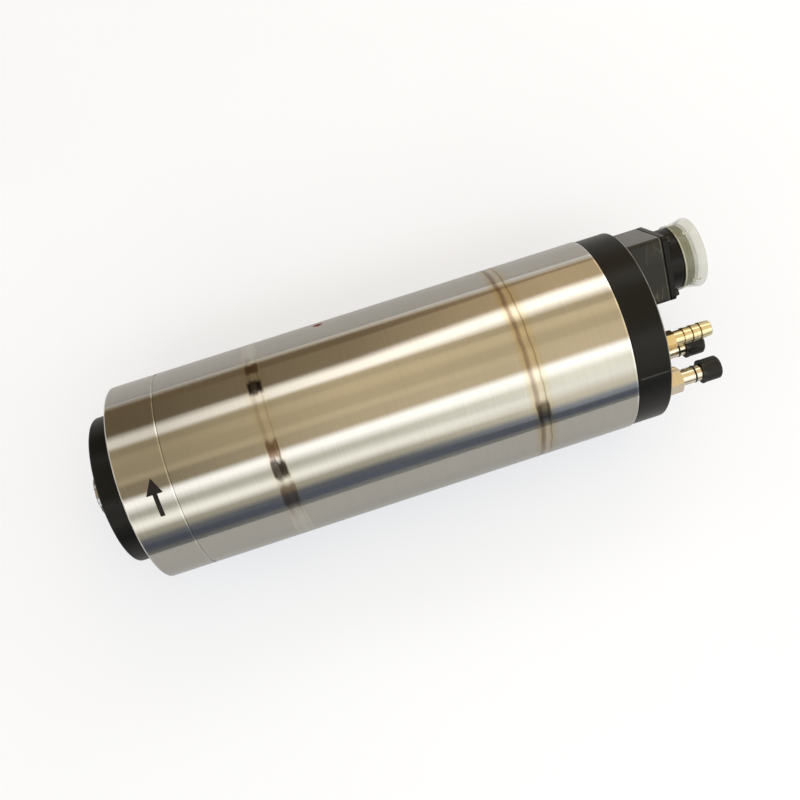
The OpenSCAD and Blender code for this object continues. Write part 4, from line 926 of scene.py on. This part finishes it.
cards = [
    Card("lit skirting", -2, 0.5, (1.00, 0.90, 0.74), 0.52, 0.86, 0.86, 2.5),
    Card("far wall, low", 5, 14, (1.00, 0.72, 0.42), 0.22, 0.26, 0.48, 2.0),
    Card("far wall, high", 16, 40.5, (1.00, 0.77, 0.47), 0.21, 0.38, 0.80, -7.5),
    Card("window", 48.8, 55.2, (1.00, 0.94, 0.84), 1.20, 2.1, 2.6, -7.0),
    Card("ceiling by the window", 60, 66, (1.00, 0.82, 0.52), 0.46, 0.82, 0.74),
    Card("ceiling beam", 70, 76, (1.00, 0.82, 0.52), 0.56, 0.98, 1.03),
    Card("ceiling", 83, 91, (1.00, 0.82, 0.52), 0.53, 0.84, 0.84),
    Card("second beam", 95, 98, (1.00, 0.83, 0.54), 0.64, 1.00, 0.98),
    Card("ceiling by the lamp", 102, 113, (1.00, 0.83, 0.55), 0.40, 0.86, 1.00),
    Card("lamp", 119.5, 124, (1.00, 0.99, 0.96), 1.9, 2.2, 2.3),
    Card("near wall", 133.5, 137.5, (1.00, 0.99, 0.86), 0.76, 1.00, 1.50),
    Card("second lamp", 146, 149.8, (1.00, 0.99, 0.91), 1.70, 1.62, 1.50, -0.5),
    Card("shelf", 158, 161, (1.00, 0.94, 0.76), 0.58, 0.66, 1.05, 3.0),
    Card("dark side, high", 168.5, 171, (0.80, 0.86, 1.00), 0.24, 0.22, 0.50, 3.5),
    Card("dark side", 175, 182, (0.70, 0.79, 1.00), 0.17, 0.23, 0.20, 3.0),
    Card("dark side, low", 186, 190, (0.80, 0.82, 0.80), 0.28, 0.40, 0.34),
]
print("tent cards:", [card.name for card in cards])

# %% Build the tent
TENT_RADIUS = 1.6
ROOM_WHITE = None
# Each column of corners is (station from the tent's middle, which of the cards' strengths it takes)
COLUMNS = [
    (-2.4, ROOM_WHITE), (-0.8, NOSE), (-0.5, NOSE), (0.0, MIDDLE), (0.5, REAR), (0.8, REAR),
    (2.4, ROOM_WHITE)]
tent_middle = (rim_x + steel_end_x) / 2


def tent_corner(degrees, card, offset, column):
    """A corner of the tent and its tone, for one edge of a card in one column."""
    lean, tone = (0.0, grey(1.0)) if column is ROOM_WHITE else (card.leans[column], card.tone(column))
    angle = math.radians(degrees + lean)
    return (tent_middle + offset, TENT_RADIUS * math.cos(angle), TENT_RADIUS * math.sin(angle)), rgb(tone)


edges = [edge for card in cards for edge in ((card.start, card), (card.end, card))]
corners, tones = [], []
for low_edge, high_edge in zip(edges, edges[1:]):
    for left, right in zip(COLUMNS, COLUMNS[1:]):
        for edge, column in ((low_edge, left), (low_edge, right), (high_edge, right), (high_edge, left)):
            corner, tone = tent_corner(*edge, *column)
            corners.append(corner)
            tones.append(tone)
tent_material = bpy.data.materials.new("tent_card")
tent_material.use_nodes = True
tree = tent_material.node_tree
tree.nodes.clear()
card_tone = add(tree, "ShaderNodeAttribute", attribute_name="card_tone")
glow = add(tree, "ShaderNodeEmission", {"Color": card_tone.outputs["Color"]})
add(tree, "ShaderNodeOutputMaterial", {"Surface": glow.outputs[0]})
tent = add_stage("light_tent", corners, tent_material)
tone_layer = tent.data.attributes.new("card_tone", "FLOAT_COLOR", "POINT")
for value, colour in zip(tone_layer.data, tones):
    value.color = colour
tent.visible_camera = False
print("tent faces:", len(tent.data.polygons))

# %% [markdown]
# ## The room beyond
# Past the table's edge and the tent's open ends there is only an even white. It lights the object at the
# level at which a colour renders about as it is written.

# %% Set up the room
ROOM_STRENGTH = 1.0
room = bpy.data.worlds.new("white_room")
room.use_nodes = True
scene.world = room
background = room.node_tree.nodes["Background"]
background.inputs["Color"].default_value = rgb(grey(1.0))
background.inputs["Strength"].default_value = ROOM_STRENGTH
print("room strength:", ROOM_STRENGTH)
